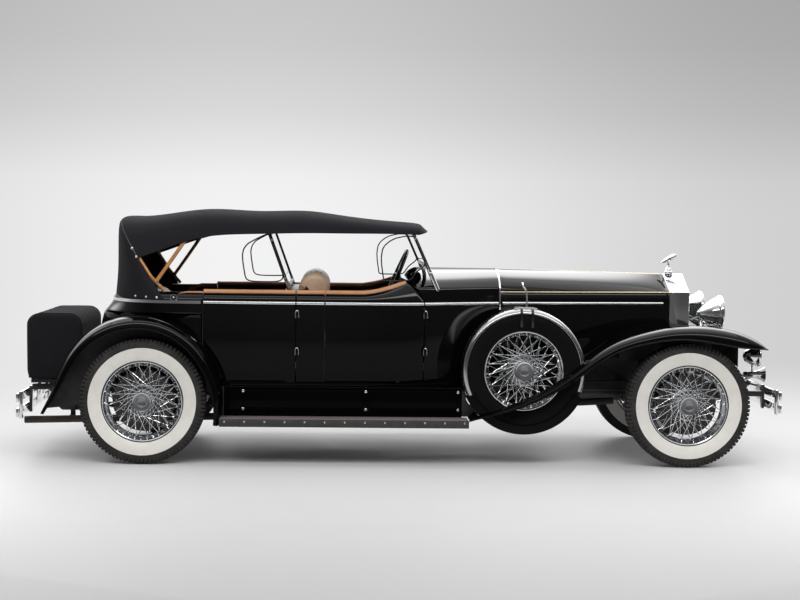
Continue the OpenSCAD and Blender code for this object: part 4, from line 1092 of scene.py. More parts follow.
def wing_pair(name, grid, flips):
    return skin(name, [grid, grid * flip_y], WING_WALL, black_lacquer, flips)


front_wings = wing_pair("front_wings_skin", front_grid, [True, False])
slot_parts = [lathe(SPARE_SLOT, SPARE * (1, s, 1), (0, 1, 0)) for s in (1, -1)]
slots = tidy(new_piece("spare_slots", *joined(slot_parts)[:2], black_lacquer))
cut = front_wings.modifiers.new("spare_slots", "BOOLEAN")
cut.object = slots
cut.solver = "EXACT"
settle(front_wings)
bpy.data.objects.remove(slots)
tidy(front_wings, 50.0, False)
wear(front_wings, "car", "wings_front")
wear(wing_pair("rear_wings_skin", rear_grid, [False, True]), "car", "wings_rear")
print("front wing faces", len(front_wings.data.polygons))

# %% [markdown]
# ## Valances
# Plates close the wings towards the chassis. The rear ones follow the wheel arch. The front ones
# stand well inboard, and their low edge stays clear of the tyres at full lock.

# %% Valances and edge wires
FRONT_PLATE_LOW = [
    # distance ahead of the axle, height of the plate's low edge
    (-430, 690), (-240, 690), (-220, 650), (215, 650), (230, 716), (300, 716), (360, 684), (395, 654),
]


def rear_valance(y):
    degrees = np.linspace(6, 186, 60)
    lip, height = easy_curve([w[0] for w in REAR_WING], [w[1:] for w in REAR_WING])(degrees).T
    r = np.stack([0 * degrees + 330, lip + REAR_SECTION[0][1] * height - 3], 1)
    a = np.radians(degrees)[:, None]
    x = REAR_AXLE + r * np.cos(a)
    return np.stack([x, 0 * x - y, np.maximum(AXLE_UP + r * np.sin(a), 345)], 2)


def front_valance(thick):
    reach, low_edge = zip(*FRONT_PLATE_LOW)
    rows = [row for row in front_grid if reach[0] < row[0, 0] - FRONT_AXLE < reach[-1]]
    x = np.array([row[0, 0] for row in rows])
    y = np.array([max(460.0, 4 - row[0, 1]) for row in rows])
    top = np.array([np.interp(w, -row[:INWARD, 1], row[:INWARD, 2]) - 6 for w, row in zip(y, rows)])
    low = np.minimum(np.interp(x - FRONT_AXLE, reach, low_edge), top - 2)
    return np.stack([np.stack([x, thick - y, z], 1) for z in (low, top)], 1)


wear(panels("rear_valances", each_side(rear_valance(613), rear_valance(609)), chassis_black, 0), "car")
wear(panels("front_valances", each_side(front_valance(0), front_valance(4)), chassis_black, 0), "car")
front_lip = front_grid[:, -1] + (0, 2.5, 1)
rear_lip = rear_grid[:, -1] + (0, 2.5, 0)
wear(tubes("wing_edge_wires", [front_lip[:88], front_lip[88:], rear_lip], 5.5, black_lacquer), "car")
print("valances", 4)

# %% [markdown]
# ## Cloth top
# The canvas is cut in panels, sewn with piping and stretched over three bows.
# It is one sheet here: its rows run from the front edge over the roof and down the back,
# and between the bows the cloth sinks a few millimetres, as tight canvas does.

# %% Canvas shape
CANVAS_LOW, CANVAS_HIGH, CANVAS_HALF, CANVAS_SINK = 1092.0, 1698.0, 640.0, 6.0
CANVAS_ROWS = [
    # x and height share in the middle; x, widening and height share at the edge; squareness
    (178, 0.778, 106, -40, 0.743, 3), (142, 0.828, 80, -28, 0.747, 3.2), (108, 0.857, 58, -24, 0.749, 3.4),
    (-30, 0.875, -40, -18, 0.752, 3.6), (-240, 0.904, -240, -8, 0.752, 4), (-460, 0.949, -460, 0, 0.751, 4),
    (-680, 0.987, -680, 0, 0.749, 4), (-980, 0.987, -960, 0, 0.736, 4), (-1290, 1, -1210, 0, 0.719, 4),
    (-1560, 0.95, -1400, 0, 0.667, 4), (-1780, 0.914, -1590, 0, 0.563, 4),
    (-1880, 0.905, -1720, 4, 0.485, 3.8), (-1916, 0.887, -1772, 8, 0.442, 3.5),
    (-1942, 0.805, -1745, 14, 0.373, 3.1), (-1954, 0.541, -1694, 24, 0.244, 2.7),
    (-1964, 0.277, -1648, 36, 0.129, 2.4), (-1982, 0.007, -1602, 44, 0, 2.25),
]
THIRD_BOW, MAIN_BOW, BACK_BOW, CORNER = 6.0, 8.6, 11.0, 12
canvas_row = fair_curve(range(len(CANVAS_ROWS)), CANVAS_ROWS)


def canvas_z(share):
    return mix(CANVAS_LOW, CANVAS_HIGH, share)


def canvas_arch(row, turns, deep=0.0):
    """One arch of the cloth, from the right edge over the roof to the left edge, or a line inside it."""
    x_mid, mid, x_edge, out, edge, square = canvas_row(row)
    c, s = np.cos(turns), np.sin(turns)
    rise = np.abs(s) ** (2 / square)
    y = -(CANVAS_HALF + out - deep) * np.sign(c) * np.abs(c) ** (2 / square)
    return np.stack([mix(x_edge, x_mid, rise), y, mix(canvas_z(edge), canvas_z(mid) - deep, rise)], 1)


def canvas_slack(row):
    """How far the cloth sinks between two bows, as a share."""
    for start, end in ((THIRD_BOW, MAIN_BOW), (MAIN_BOW, BACK_BOW)):
        if start < row < end:
            return math.sin(math.pi * (row - start) / (end - start)) ** 2
    return 0.0


def canopy_grid():
    turns = np.radians(np.linspace(180, 0, 91))
    sink = np.stack([0 * turns, 0 * turns, -CANVAS_SINK * np.sin(turns) ** 0.5], 1)
    steps = np.linspace(0, len(CANVAS_ROWS) - 1, 129)
    return np.array([canvas_arch(k, turns) + canvas_slack(k) * sink for k in steps])


def cut_map(grid):
    """Flat coordinates of a sheet, in metres, measured along its rows and columns."""
    across = np.cumsum(np.linalg.norm(np.diff(grid, axis=1, prepend=grid[:, :1]), axis=2), axis=1)
    along = np.cumsum(np.linalg.norm(np.diff(grid, axis=0, prepend=grid[:1]), axis=2), axis=0)
    return np.stack([across - across[:, -1:] / 2, along], 2).reshape(-1, 2) * MM


print("canvas rows", len(CANVAS_ROWS))

# %% Canvas sheet
canvas_grid = canopy_grid()
canvas_cut = cut_map(canvas_grid)
canopy = skin("canopy_canvas", [canvas_grid], 4.0, black_canvas, [False], canvas_cut)
wear(canopy, "car", "canopy")

# %% Piping and hem of the canvas
per_row = (len(canvas_grid) - 1) // (len(CANVAS_ROWS) - 1)
corner_seam = canvas_grid[CORNER * per_row]
hem = [canvas_grid[0], canvas_grid[-1], canvas_grid[:, 0], canvas_grid[:, -1]]
seams = [canvas_grid[3:-3, j] for j in (18, 72)]
wear(tubes("canopy_piping", [corner_seam], 4.4, piping_cloth, both=False, sides=8), "car")
wear(tubes("canopy_hem", hem, 3.4, black_canvas, both=False, sides=8), "car")
wear(tubes("canopy_seams", seams, 1.8, black_canvas, both=False, sides=6), "car")
print("seams", len(seams), "hem sides", len(hem))

# %% [markdown]
# ## Repeats by Geometry Nodes
# Spokes, tread lugs, rivets and snaps are one small shape many times over. Two short trees do it:
# one turns copies of a shape round an axle, the other sets a stud on each point, facing outward.
# Both end in real geometry with a material, because a file for sharing keeps no instances.

# %% Two trees for repeats


def new_tree(name, **inputs):
    """A tree that takes a mesh and the named inputs and gives a mesh."""
    tree = bpy.data.node_groups.new(name, "GeometryNodeTree")
    tree.interface.new_socket("Geometry", in_out="INPUT", socket_type="NodeSocketGeometry")
    for label, kind in inputs.items():
        tree.interface.new_socket(label, in_out="INPUT", socket_type="NodeSocket" + kind)
    tree.interface.new_socket("Geometry", in_out="OUTPUT", socket_type="NodeSocketGeometry")
    return tree, tree.nodes.new("NodeGroupInput"), tree.nodes.new("NodeGroupOutput")


def link_all(tree, *pairs):
    for output, socket in pairs:
        tree.links.new(output, socket)


def close_tree(tree, source, end, instances):
    """Makes the instances real, gives them their material and ends the tree."""
    real = tree.nodes.new("GeometryNodeRealizeInstances")
    paint = tree.nodes.new("GeometryNodeSetMaterial")
    link_all(
        tree,
        (instances, real.inputs[0]),
        (real.outputs[0], paint.inputs["Geometry"]),
        (source.outputs["Material"], paint.inputs["Material"]),
        (paint.outputs[0], end.inputs[0]),
    )
    return tree


def axle_tree():
    """Turns copies of the piece round an axle along y."""
    tree, source, end = new_tree("round_an_axle", Count="Int", Centre="Vector", Material="Material")
    points = tree.nodes.new("GeometryNodePoints")
    index = tree.nodes.new("GeometryNodeInputIndex")
    angle = tree.nodes.new("ShaderNodeMath")
    share = tree.nodes.new("ShaderNodeMath")
    vector = tree.nodes.new("ShaderNodeCombineXYZ")
    place = tree.nodes.new("GeometryNodeInstanceOnPoints")
    share.operation = "DIVIDE"
    angle.operation = "MULTIPLY"
    angle.inputs[1].default_value = 2 * math.pi
    link_all(
        tree,
        (source.outputs["Count"], points.inputs["Count"]),
        (source.outputs["Centre"], points.inputs["Position"]),
        (index.outputs[0], share.inputs[0]),
        (source.outputs["Count"], share.inputs[1]),
        (share.outputs[0], angle.inputs[0]),
        (angle.outputs[0], vector.inputs["Y"]),
        (points.outputs[0], place.inputs["Points"]),
        (source.outputs["Geometry"], place.inputs["Instance"]),
        (vector.outputs[0], place.inputs["Rotation"]),
    )
    return close_tree(tree, source, end, place.outputs[0])


def stud_tree():
    """Sets a flattened ball on each point, along the point's own facing."""
    tree, source, end = new_tree("studs", Radius="Float", Flatness="Float", Material="Material")
    ball = tree.nodes.new("GeometryNodeMeshUVSphere")
    squash = tree.nodes.new("GeometryNodeTransform")
    scale = tree.nodes.new("ShaderNodeCombineXYZ")
    facing = tree.nodes.new("GeometryNodeInputNamedAttribute")
    turn_to = tree.nodes.new("FunctionNodeAlignRotationToVector")
    place = tree.nodes.new("GeometryNodeInstanceOnPoints")
    smooth = tree.nodes.new("GeometryNodeSetShadeSmooth")
    ball.inputs["Segments"].default_value = 12
    ball.inputs["Rings"].default_value = 8
    for axis in ("X", "Y"):
        scale.inputs[axis].default_value = 1.0
    facing.data_type = "FLOAT_VECTOR"
    facing.inputs["Name"].default_value = "facing"
    turn_to.axis = "Z"
    link_all(
        tree,
        (source.outputs["Radius"], ball.inputs["Radius"]),
        (source.outputs["Flatness"], scale.inputs["Z"]),
        (ball.outputs["Mesh"], smooth.inputs["Geometry"]),
        (smooth.outputs[0], squash.inputs["Geometry"]),
        (scale.outputs[0], squash.inputs["Scale"]),
        (facing.outputs["Attribute"], turn_to.inputs["Vector"]),
        (source.outputs["Geometry"], place.inputs["Points"]),
        (squash.outputs[0], place.inputs["Instance"]),
        (turn_to.outputs[0], place.inputs["Rotation"]),
    )
    return close_tree(tree, source, end, place.outputs[0])


ROUND_AXLE, STUDS = axle_tree(), stud_tree()
print("trees", len(bpy.data.node_groups))

# %% Running the trees


def grow(piece, tree, **values):
    """Runs a tree on a piece and keeps the result as a plain mesh."""
    modifier = piece.modifiers.new(tree.name, "NODES")
    modifier.node_group = tree
    for item in tree.interface.items_tree:
        if item.in_out == "INPUT" and item.name in values:
            modifier[item.identifier] = values[item.name]
    return settle(piece)


def studs(name, body, places, facing, radius, finish, flatness=0.5):
    """Rows of studs at points in millimetres, facing one way or one way for each point."""
    places = np.asarray(places, float)
    piece = new_piece(name, places, [], finish)
    ways = np.broadcast_to(np.asarray(facing, float), places.shape)
    attribute = piece.data.attributes.new("facing", "FLOAT_VECTOR", "POINT")
    attribute.data.foreach_set("vector", np.ascontiguousarray(ways, np.float32).ravel())
    grow(piece, STUDS, Radius=radius * MM, Flatness=flatness, Material=finish)
    return wear(piece, body)


print("ready to run", ROUND_AXLE.name, STUDS.name)

# %% [markdown]
# ## Tyres and wheels
# A tyre is a turned section: bead, bulging wall with its white band, shoulder and crown.
# The lugs of the tread stand on the crown; one pitch is modelled and turned round the axle.

# %% Tyres
TYRE_SIDE = [
    # radius, distance across from the tyre's middle
    (262.5, 56.5), (267, 60), (269, 65.5), (271, 67.5), (273, 68.4), (281, 71.2), (290, 74), (300, 76.6),
    (312, 79.6), (326, 82.3), (340, 83.6), (352, 83.4), (355, 83.9), (357, 82.6), (366, 82.0), (380, 79.5),
    (390, 76.5), (398, 72.0), (403, 66.0), (407, 57.0), (409.5, 44.0), (410.5, 24.0), (411, 8.0),
]
WHITE_FROM, WHITE_TO = 272.0, 356.0
LUGS, LUG_SHARE = 92, 0.82
LUG_ROWS = [
    # foot and crown radius, distance across at the outer and inner edge, corners in half pitches
    (402, 415.5, 72, 45, (-1, 1, 1.1, -0.7)),
    (408, 417.6, 39, 15, (-0.8, 1, 1.3, -0.5)),
    (378, 402, 80.5, 60, (-0.8, 0.8, 0.8, -0.8)),
]


def tyre(name, body, node, centre, white):
    profile = [*TYRE_SIDE, *[(r, -w) for r, w in reversed(TYRE_SIDE)]]
    profile.append(profile[0])
    points, faces, _ = lathe(profile, centre, (0, 1, 0), steps=110)
    piece = tidy(new_piece(name, points, faces, [tyre_black if white else spare_black, tyre_white]), 38.0)
    for face in piece.data.polygons:
        x, _, z = face.center / MM - Vector(centre)
        face.material_index = int(white and WHITE_FROM < math.hypot(x, z) < WHITE_TO)
    return wear(piece, body, *node)


def ring_point(radius, degrees, across):
    turn = math.radians(degrees)
    return radius * math.sin(turn), across, radius * math.cos(turn)


def lug(corners, low, high):
    """One tread block: a slanted quadrilateral, given as (turn in degrees, distance across), raised."""
    foot = [ring_point(low, a, w) for a, w in corners]
    crown = [ring_point(high, a * 0.86, w * 0.985) for a, w in corners]
    faces = [(4, 5, 6, 7), (0, 1, 5, 4), (1, 2, 6, 5), (2, 3, 7, 6), (3, 0, 4, 7)]
    return np.array(foot + crown), faces, np.zeros((8, 2))


def tread(name, body, centre):
    """The lugs of one pitch and the middle rib, turned round the axle."""
    half = 180 / LUGS * LUG_SHARE
    parts = []
    for low, high, outer, inner, corners in LUG_ROWS:
        for s in (1, -1):
            across = (s * outer, s * outer, s * inner, s * inner)
            parts.append(lug([(half * c, w) for c, w in zip(corners, across)], low, high))
    parts.append(lug([(-half, -9), (half, -9), (half, 9), (-half, 9)], 408, 418.0))
    points, faces, _ = joined(parts)
    piece = tidy(new_piece(name, points, faces, tyre_black), 30.0)
    grow(piece, ROUND_AXLE, Count=LUGS, Centre=tuple(np.asarray(centre) * MM), Material=tyre_black)
    return wear(piece, body)


print("lugs", LUGS * (2 * len(LUG_ROWS) + 1))

# %% [markdown]
# ## Wire wheels
# The spokes cross: in each of two rows one spoke leans forward and one back, from a stepped hub
# to the rim. One pitch is drawn and turned round the axle, as with the tread.

# %% Wheels
drum_black = enamel("drum_black", (0.008, 0.008, 0.008), (0.025, 0.023, 0.02), 0.38)
hub_dark = plated("hub_dark", (0.27, 0.27, 0.28), 0.22, 0.12)
WHEELS = {
    f"{end}_{side}": (x, s * 720.0, AXLE_UP)
    for end, x in (("front", FRONT_AXLE), ("rear", REAR_AXLE))
    for side, s in (("right", -1), ("left", 1))
}
# The sections give radius and distance outward from the wheel's middle.
RIM_OUT = [(262, 66), (266, 64.5), (267.5, 61), (262, 57), (250, 40), (243, 33), (240, 26), (239, 0)]
RIM_IN = [(233, 0), (233, 24), (237, 31), (246, 41), (255, 57), (258, 63.5), (262, 66)]
RIM = [*RIM_OUT, *[(r, -w) for r, w in RIM_OUT[-2::-1]], *[(r, -w) for r, w in RIM_IN[-2::-1]], *RIM_IN]
HUB = [
    (40, -42), (52, -42), (52, -14), (106, -14), (112, -10), (113, 0), (110, 8), (102, 14), (94, 22),
    (87, 32), (80, 43), (72, 52), (66, 58), (64, 63), (67, 67), (68, 74), (66, 76), (66, 80), (68, 82),
    (67, 90), (64, 96), (60, 100), (55, 99),
]
HUB_PLATE = [
    (55.5, 98), (54, 100.5), (50, 101), (47, 99.5), (36, 100), (34, 102), (31, 102.5), (29, 101), (0, 101.5),
]
DRUM = [(84, -14), (195, -14), (195, -50), (205, -50), (205, -12), (201, -8), (84, -8)]
SPOKE_ROWS = [
    # radius and distance outward at the hub, lean in degrees, distance outward at the rim
    (66, 62, 44, 14), (110, 4, 36, -8),
]
SPOKES, SPOKE_R, SPOKE_HEAD, SPOKE_SPLIT = 20, 2.0, 240, 4


def spoke_pitch(side):
    """The spokes of one pitch: two rows, each with one spoke leaning either way."""
    parts = []
    for row, (hub_r, hub_w, lean, rim_w) in enumerate(SPOKE_ROWS):
        start = math.radians(row * 180 / SPOKES)
        for way in (-1, 1):
            end = start + math.radians(way * lean)
            split = way * SPOKE_SPLIT
            foot = (hub_r * math.cos(start), side * (hub_w + split), hub_r * math.sin(start))
            head = (SPOKE_HEAD * math.cos(end), side * (rim_w + split), SPOKE_HEAD * math.sin(end))
            parts.append(tube(np.linspace(foot, head, 4), SPOKE_R, 6))
    return parts


def turned(name, body, parts, finish, sharp, *nodes):
    """Turned parts as one piece on a wheel."""
    return wear(tidy(new_piece(name, *joined(parts)[:2], finish), sharp, False), body, *nodes)


def wire_wheel(name, body, node, centre, drum):
    """Rim, hub with its plate, spokes, and the brake drum on the road wheels."""
    axle = (0, math.copysign(1, centre[1]), 0)
    rim, hub = lathe(RIM, centre, axle, steps=120), lathe(HUB, centre, axle, steps=64)
    turned(name + "_metal", body, [rim, hub], wheel_chrome, 32.0, node)
    turned(name + "_plate", body, [lathe(HUB_PLATE, centre, axle, steps=64)], hub_dark, 40.0)
    if drum:
        turned(name + "_drum", body, [lathe(DRUM, centre, axle)], drum_black, 32.0)
    spokes = tidy(new_piece(name + "_spokes", *joined(spoke_pitch(axle[1]))[:2], chrome), 50.0)
    grow(spokes, ROUND_AXLE, Count=SPOKES, Centre=tuple(np.asarray(centre) * MM), Material=chrome)
    wear(spokes, body)


for where, centre in WHEELS.items():
    body = "wheel_" + where
    tyre("tyre_wall_" + where, body, ["tyre_" + where], centre, True)
    tread("tyre_tread_" + where, body, centre)
    wire_wheel(body + "_wire", body, body, centre, True)
for k, s in enumerate((1, -1)):
    wire_wheel(f"spare_wire_{k}", "car", "spare_wheels", SPARE * (1, s, 1), False)
spare_parts = [tyre(f"spare_tyre_{k}", "car", [], SPARE * (1, s, 1), False) for k, s in enumerate((1, -1))]
wear(merged("spare_tyres_skin", spare_parts), "car", "spare_tyres")
print("wheels", len(WHEELS))

# %% [markdown]
# ## Running gear and fittings
# Parts that the frame already has right keep their shape. A merged copy of each is shaded smooth,
# its hard edges get a small round that catches the light, and it takes its finish.

# %% Dress the frame's own parts
PLAIN = [
    # finish, rounding of the edges in millimetres, frame nodes
    (chassis_black, 3, ["chassis_rails", "chassis_crossmembers", "front_axle", "trunk_rack"]),
    (chassis_black, 0, ["rear_axle"]),
    (chassis_black, 1, ["springs"]),
    (chassis_black, 2, ["steering_column"]),
    (chassis_black, 8, ["fuel_tank"]),
    (gear_iron, 6, ["engine"]),
    (gear_iron, 2, ["radiator_shutters"]),
    (brown_lining, 6, ["partition"]),
    (black_lacquer, 1, ["door_hinges"]),
    (black_lacquer, 0, ["spare_wells"]),
    (apron_black, 2, ["side_aprons"]),
    (chrome, 2.5, ["radiator_shell"]),
    (chrome, 0, ["radiator_cap", "lamp_bar", "headlamps", "driving_lamps"]),
    (wheel_ebonite, 4, ["windscreen_frame", "tonneau_screen_frame"]),
]
BUMPER_FACE = 2515
TWO_TONE = {
    # node: both finishes, rounding, and where a face takes the second finish
    "exhaust": ([pipe_steel, chassis_black], 0, lambda place: place.z > 345),
    "floor": ([black_lacquer, carpet], 2, lambda place: place.z > 574),
    "bulkheads": ([dash_walnut, chassis_black], 2, lambda place: place.x > 400),
    "running_boards": ([board_edge, board_mat], 3, lambda place: place.z > 316),
    "bumper_front": ([chrome, chassis_black], 5, lambda place: abs(place.x) < BUMPER_FACE),
    "bumper_rear": ([chrome, chassis_black], 5, lambda place: abs(place.x) < BUMPER_FACE),
}
for finish, edge, nodes in PLAIN:
    for node in nodes:
        dressed(node, "car", finish, edge)
for node, (finishes, edge, pick) in TWO_TONE.items():
    dressed(node, "car", finishes, edge, pick)
for body in ("knuckle_right", "knuckle_left", "tie_rod"):
    dressed(body, body, chassis_black, 2)
dressed("steering_wheel", "steering_wheel", wheel_ebonite)
for node, finish in (("screen_glass", pane_glass), ("lamp_glass", lens_glass)):
    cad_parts[node].data.materials.clear()
    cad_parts[node].data.materials.append(finish.material)
print("dressed", sum(len(row[2]) for row in PLAIN) + len(TWO_TONE) + 4)

# %% [markdown]
# ## Mouldings along the body
# A polished moulding runs along the belt from the tub to the bonnet, and a leather roll caps the
# door tops. Both are one section swept along a line of the body, cut at every door gap.

# %% Sweeping a section


def ribbon(path, section, out=None):
    """Sweeps a section of (outward, upward) points along a path. out gives the outward directions."""
    path = np.asarray(path, float)
    ahead = np.gradient(path, axis=0)
    ahead /= np.linalg.norm(ahead, axis=1)[:, None]
    if out is None:
        out = np.cross(ahead, (0, 0, 1.0))
    out = np.broadcast_to(np.asarray(out, float), path.shape)
    out = out / np.linalg.norm(out, axis=1)[:, None]
    up = np.cross(out, ahead)
    up /= np.linalg.norm(up, axis=1)[:, None]
    across, upward = np.array(section, float).T
    rings = [p + np.outer(across, o) + np.outer(upward, u) for p, o, u in zip(path, out, up)]
    n, last = len(section), len(path) - 1
    faces = []
    for i in range(last):
        for j in range(n):
            a, b = i * n + j, i * n + (j + 1) % n
            faces.append((a, b, b + n, a + n))
    faces += [tuple(range(n))[::-1], tuple(range(last * n, last * n + n))]
    return np.concatenate(rings), faces, np.zeros((n * len(path), 2))


def swept(name, body, parts, finish, both=True, sharp=50.0):
    """Swept or turned parts as one piece, on both sides of the car or as given."""
    points, faces, uv = joined(mirrored(parts) if both else parts)
    return wear(tidy(new_piece(name, points, faces, finish, uv), sharp), body)


def on_side(part, s):
    """A part of the right side (1), or its mirror image on the left (-1)."""
    points, faces, uv = part
    return points * (1, s, 1), faces if s > 0 else [f[::-1] for f in faces], uv


bar = ribbon([(0, 0, 0), (9, 0, 0)], [(0, 0), (1, 0), (1, 1), (0, 1)])
print("faces of a swept square", len(bar[1]))

# %% Belt moulding and rail rolls
BELT = [(-3, -10), (2, -10), (6, -8), (8.5, -3.5), (8.5, 3.5), (6, 8), (2, 10), (-3, 10)]
ROLL = [(19, -6), (21, 2), (19, 12), (12, 19), (0, 22), (-12, 19), (-19, 12), (-21, 2), (-19, -6)]
AWAY = (0, -1, 0)


def belt(x0, x1):
    x = np.linspace(x0, x1, 40)
    return ribbon(np.stack([x, -half_w(x) + 1, 0 * x + BEAD], 1), BELT, AWAY)


def rail_roll(x0, x1, slant):
    return ribbon(rail_path(x0, x1, slant), ROLL, AWAY)


for side, s in SIDES.items():
    for door, (back, front, foot, slant) in DOORS.items():
        body = f"{door}_{side}"
        start = back(BEAD) + 1
        swept(f"belt_{body}", body, [on_side(belt(start, front - 1), s)], chrome, False)
        roll_part = on_side(rail_roll(start - 2, front - 2, slant), s)
        swept(f"rail_roll_{body}", body, [roll_part], rail_leather, False)
fixed_belt = [
    belt(REAR_HINGE + 1, FRONT_SHUT - 1),
    belt(FRONT_HINGE + 1, BONNET_BACK - 14),
    belt(BONNET_BACK + 14, 1836),
]
swept("belt_sides", "car", fixed_belt, chrome)
print("belts and rolls of the doors", 2 * len(DOORS) * len(SIDES))

# %% Moulding and roll of the tub
BELT_HALF, BELT_BACK = 697, -1998
ROLL_HALF, ROLL_BACK, ROLL_END, DROOP_FROM = 652, -1954, -1548, -1440
tub_turns = np.radians(90 - 89.8 * np.cos(np.radians(np.linspace(0, 180, 110))))
c, s = np.cos(tub_turns), np.sin(tub_turns)
tub_y = -BELT_HALF * np.sign(c) * np.abs(c) ** TUB_BOW
tub_belt_x = REAR_SHUT - 1 - (REAR_SHUT - BELT_BACK) * np.abs(s) ** TUB_BOW
tub_line = np.stack([tub_belt_x, tub_y, 0 * tub_y + BEAD], 1)
swept("belt_tub", "car", [ribbon(tub_line, BELT)], chrome, False)
tub_x = np.linspace(REAR_SHUT + 2, ROLL_END, 40)
tub_turn = np.arcsin(np.clip((REAR_SHUT + 2 - tub_x) / (REAR_SHUT - ROLL_BACK), 0, 1) ** (1 / TUB_BOW))
droop = np.clip((DROOP_FROM - tub_x) / (DROOP_FROM - ROLL_END), 0, 1) ** 1.5
tub_roll = np.stack([tub_x, 16 - ROLL_HALF * np.cos(tub_turn) ** TUB_BOW - 30 * droop, RAIL - 36 * droop], 1)
fixed_rolls = [rail_roll(REAR_HINGE + 1, FRONT_SHUT - 1, 0.0), ribbon(tub_roll, ROLL, AWAY)]
swept("rail_roll_fixed", "car", fixed_rolls, rail_leather)
print("fixed rolls", len(fixed_rolls))

# %% [markdown]
# ## Bows and screens
# Bent ash hoops carry the cloth: they rise from a pivot on the rail and follow the roof inside.
# The screens have plated frames, and a hinged side wing of glass in a thin tube at each post.

# %% Bows
PIVOT = np.array([-1655.0, -628.0, canvas_z(0.186)])
BACK_FOOT = [
    PIVOT, (-1692, -638, canvas_z(0.255)), (-1740, -632, canvas_z(0.38)), (-1766, -626, canvas_z(0.449)),
]
MAIN_FOOT = [PIVOT, (-1465, -622, canvas_z(0.642))]
BOW_R, UNDER_CLOTH = 13.0, 6.0
HOOP_TURNS = np.radians(np.arange(2, 21) * 180 / 22)


def hoop(foot, row):
    """A bow from its foot over the car to the other foot, under the cloth."""
    foot = np.array([tuple(p) for p in foot], float).reshape(-1, 3)
    arch = canvas_arch(row, HOOP_TURNS, BOW_R + UNDER_CLOTH)
    return tube(batten(np.concatenate([foot, arch, foot[::-1] * flip_y]), 150), BOW_R, 14)


bows = [hoop(BACK_FOOT, BACK_BOW), hoop(MAIN_FOOT, MAIN_BOW), hoop([], THIRD_BOW)]
points, faces, uv = joined(bows)
wear(tidy(new_piece("ash_bows", points, faces, bow_ash, uv), 50.0), "car", "canopy_bows")
print("bows", len(bows))

# %% Pivots and feet of the bows
KNOB, KNOB_AXIS = (-1530, -684, 1103), (0, -1, 0.25)
pivot_shape = [(0, 12), (9, 12), (11, 9), (11, 6), (18, 5), (19, 2), (19, -15), (0, -15)]
knob_ring = [(17, 4), (19, 8), (23, 8), (26, 4), (26, -10)]
knob_button = [(0, 7), (5, 6), (7, 3), (7, 0)]
pivot_parts = [
    lathe(pivot_shape, PIVOT, AWAY, steps=40),
    lathe(knob_ring, KNOB, KNOB_AXIS, steps=40),
    lathe(knob_button, KNOB, KNOB_AXIS, steps=24),
]
swept("bow_pivots", "car", pivot_parts, chrome, True, 30.0)
bow_foot = np.linspace((-1604, -602, 1150), PIVOT + (0, 6, 0), 8)
wear(tubes("bow_feet", [bow_foot], 12.0, bow_ash), "car")
knob_middle = lathe([(0, 2), (18, 3), (19, 0)], KNOB, KNOB_AXIS, steps=32)
swept("knob_middles", "car", [knob_middle], wheel_ebonite)
print("pivot parts", len(pivot_parts))

# %% Rims of the wind wings
WING_GLASS_TOP = 1530.4
WING_GLASS = {
    # screen: distance from the middle, low edge, then x and height share round the rim
    "front": (-605.3, 1230.0, [
        (160, 0.38), (77, 1), (12, 1), (-52, 0.953), (-93, 0.88), (-123, 0.79), (-139, 0.7), (-147, 0.515),
        (-143, 0.33), (-134, 0.133), (-128, 0), (50, 0), (90, 0.2),
    ]),
    "rear": (-555.3, 1212.0, [
        (-784, 0), (-899, 1), (-925, 1), (-965, 0.943), (-1000, 0.887), (-1048, 0.8), (-1074, 0.69),
        (-1083, 0.56), (-1077, 0.37), (-1057, 0),
    ]),
}
wing_rims = []
for y, low, outline in WING_GLASS.values():
    loop = np.array([(x, y, mix(low, WING_GLASS_TOP, share)) for x, share in outline], float)
    fine = np.concatenate([np.linspace(a, b, 9)[:-1] for a, b in zip(loop, np.roll(loop, -1, 0))])
    for _ in range(4):
        fine = (np.roll(fine, 1, 0) + 2 * fine + np.roll(fine, -1, 0)) / 4
    wing_rims.append(tube(fine, 4.6, 8, close=True))
swept("wind_wing_rims", "car", wing_rims, wheel_ebonite)
print("wind wing rims", 2 * len(wing_rims))

# %% Bright lines and clamps of the screens
FRONT_POST = [np.array((242.0, -591.0, 1160.0)), np.array((66.4, -591.0, 1554.4))]
REAR_POST = [np.array((-762.0, -541.0, 1152.0)), np.array((-907.0, -541.0, 1550.4))]
POST_FACE = np.array((0, -11, 0))
CLAMP = [(0, 14), (8, 14), (11, 11), (11, -4), (0, -4)]
post_lines = [np.linspace(a + POST_FACE, b + POST_FACE, 12) for a, b in (FRONT_POST, REAR_POST)]
wear(tubes("screen_post_lines", post_lines, 2.6, chrome), "car")
sleeves = []
for post, low, high in ((FRONT_POST, 0.02, 0.38), (REAR_POST, 0.03, 0.16)):
    sleeves.append(tube(np.linspace(mix(*post, low), mix(*post, high), 8), 15.5, 16))
for post, shares in ((FRONT_POST, (0.30, 0.90)), (REAR_POST, (0.22, 0.86))):
    for share in shares:
        sleeves.append(lathe(CLAMP, mix(*post, share) + POST_FACE, AWAY, steps=24))
swept("screen_fittings", "car", sleeves, chrome, True, 40.0)
print("screen fittings", 2 * len(sleeves))

# %% [markdown]
# ## Trunk
# The trunk is a rigid box on the rack behind the body. Black cloth is glued over its well rounded
# edges, with piping where the end panels meet the rest.

# %% Trunk
TRUNK_HALF, TRUNK_LOW, TRUNK_EDGE, TRUNK_SAG = 480.0, 534.0, 34.0, 2.5


def evenly(loop, count):
    """An outline's points, spaced evenly along it."""
    run = run_length(loop)
    even = np.linspace(0, run[-1], count)
    return np.stack([np.interp(even, run, loop[:, k]) for k in (0, 1)], 1)


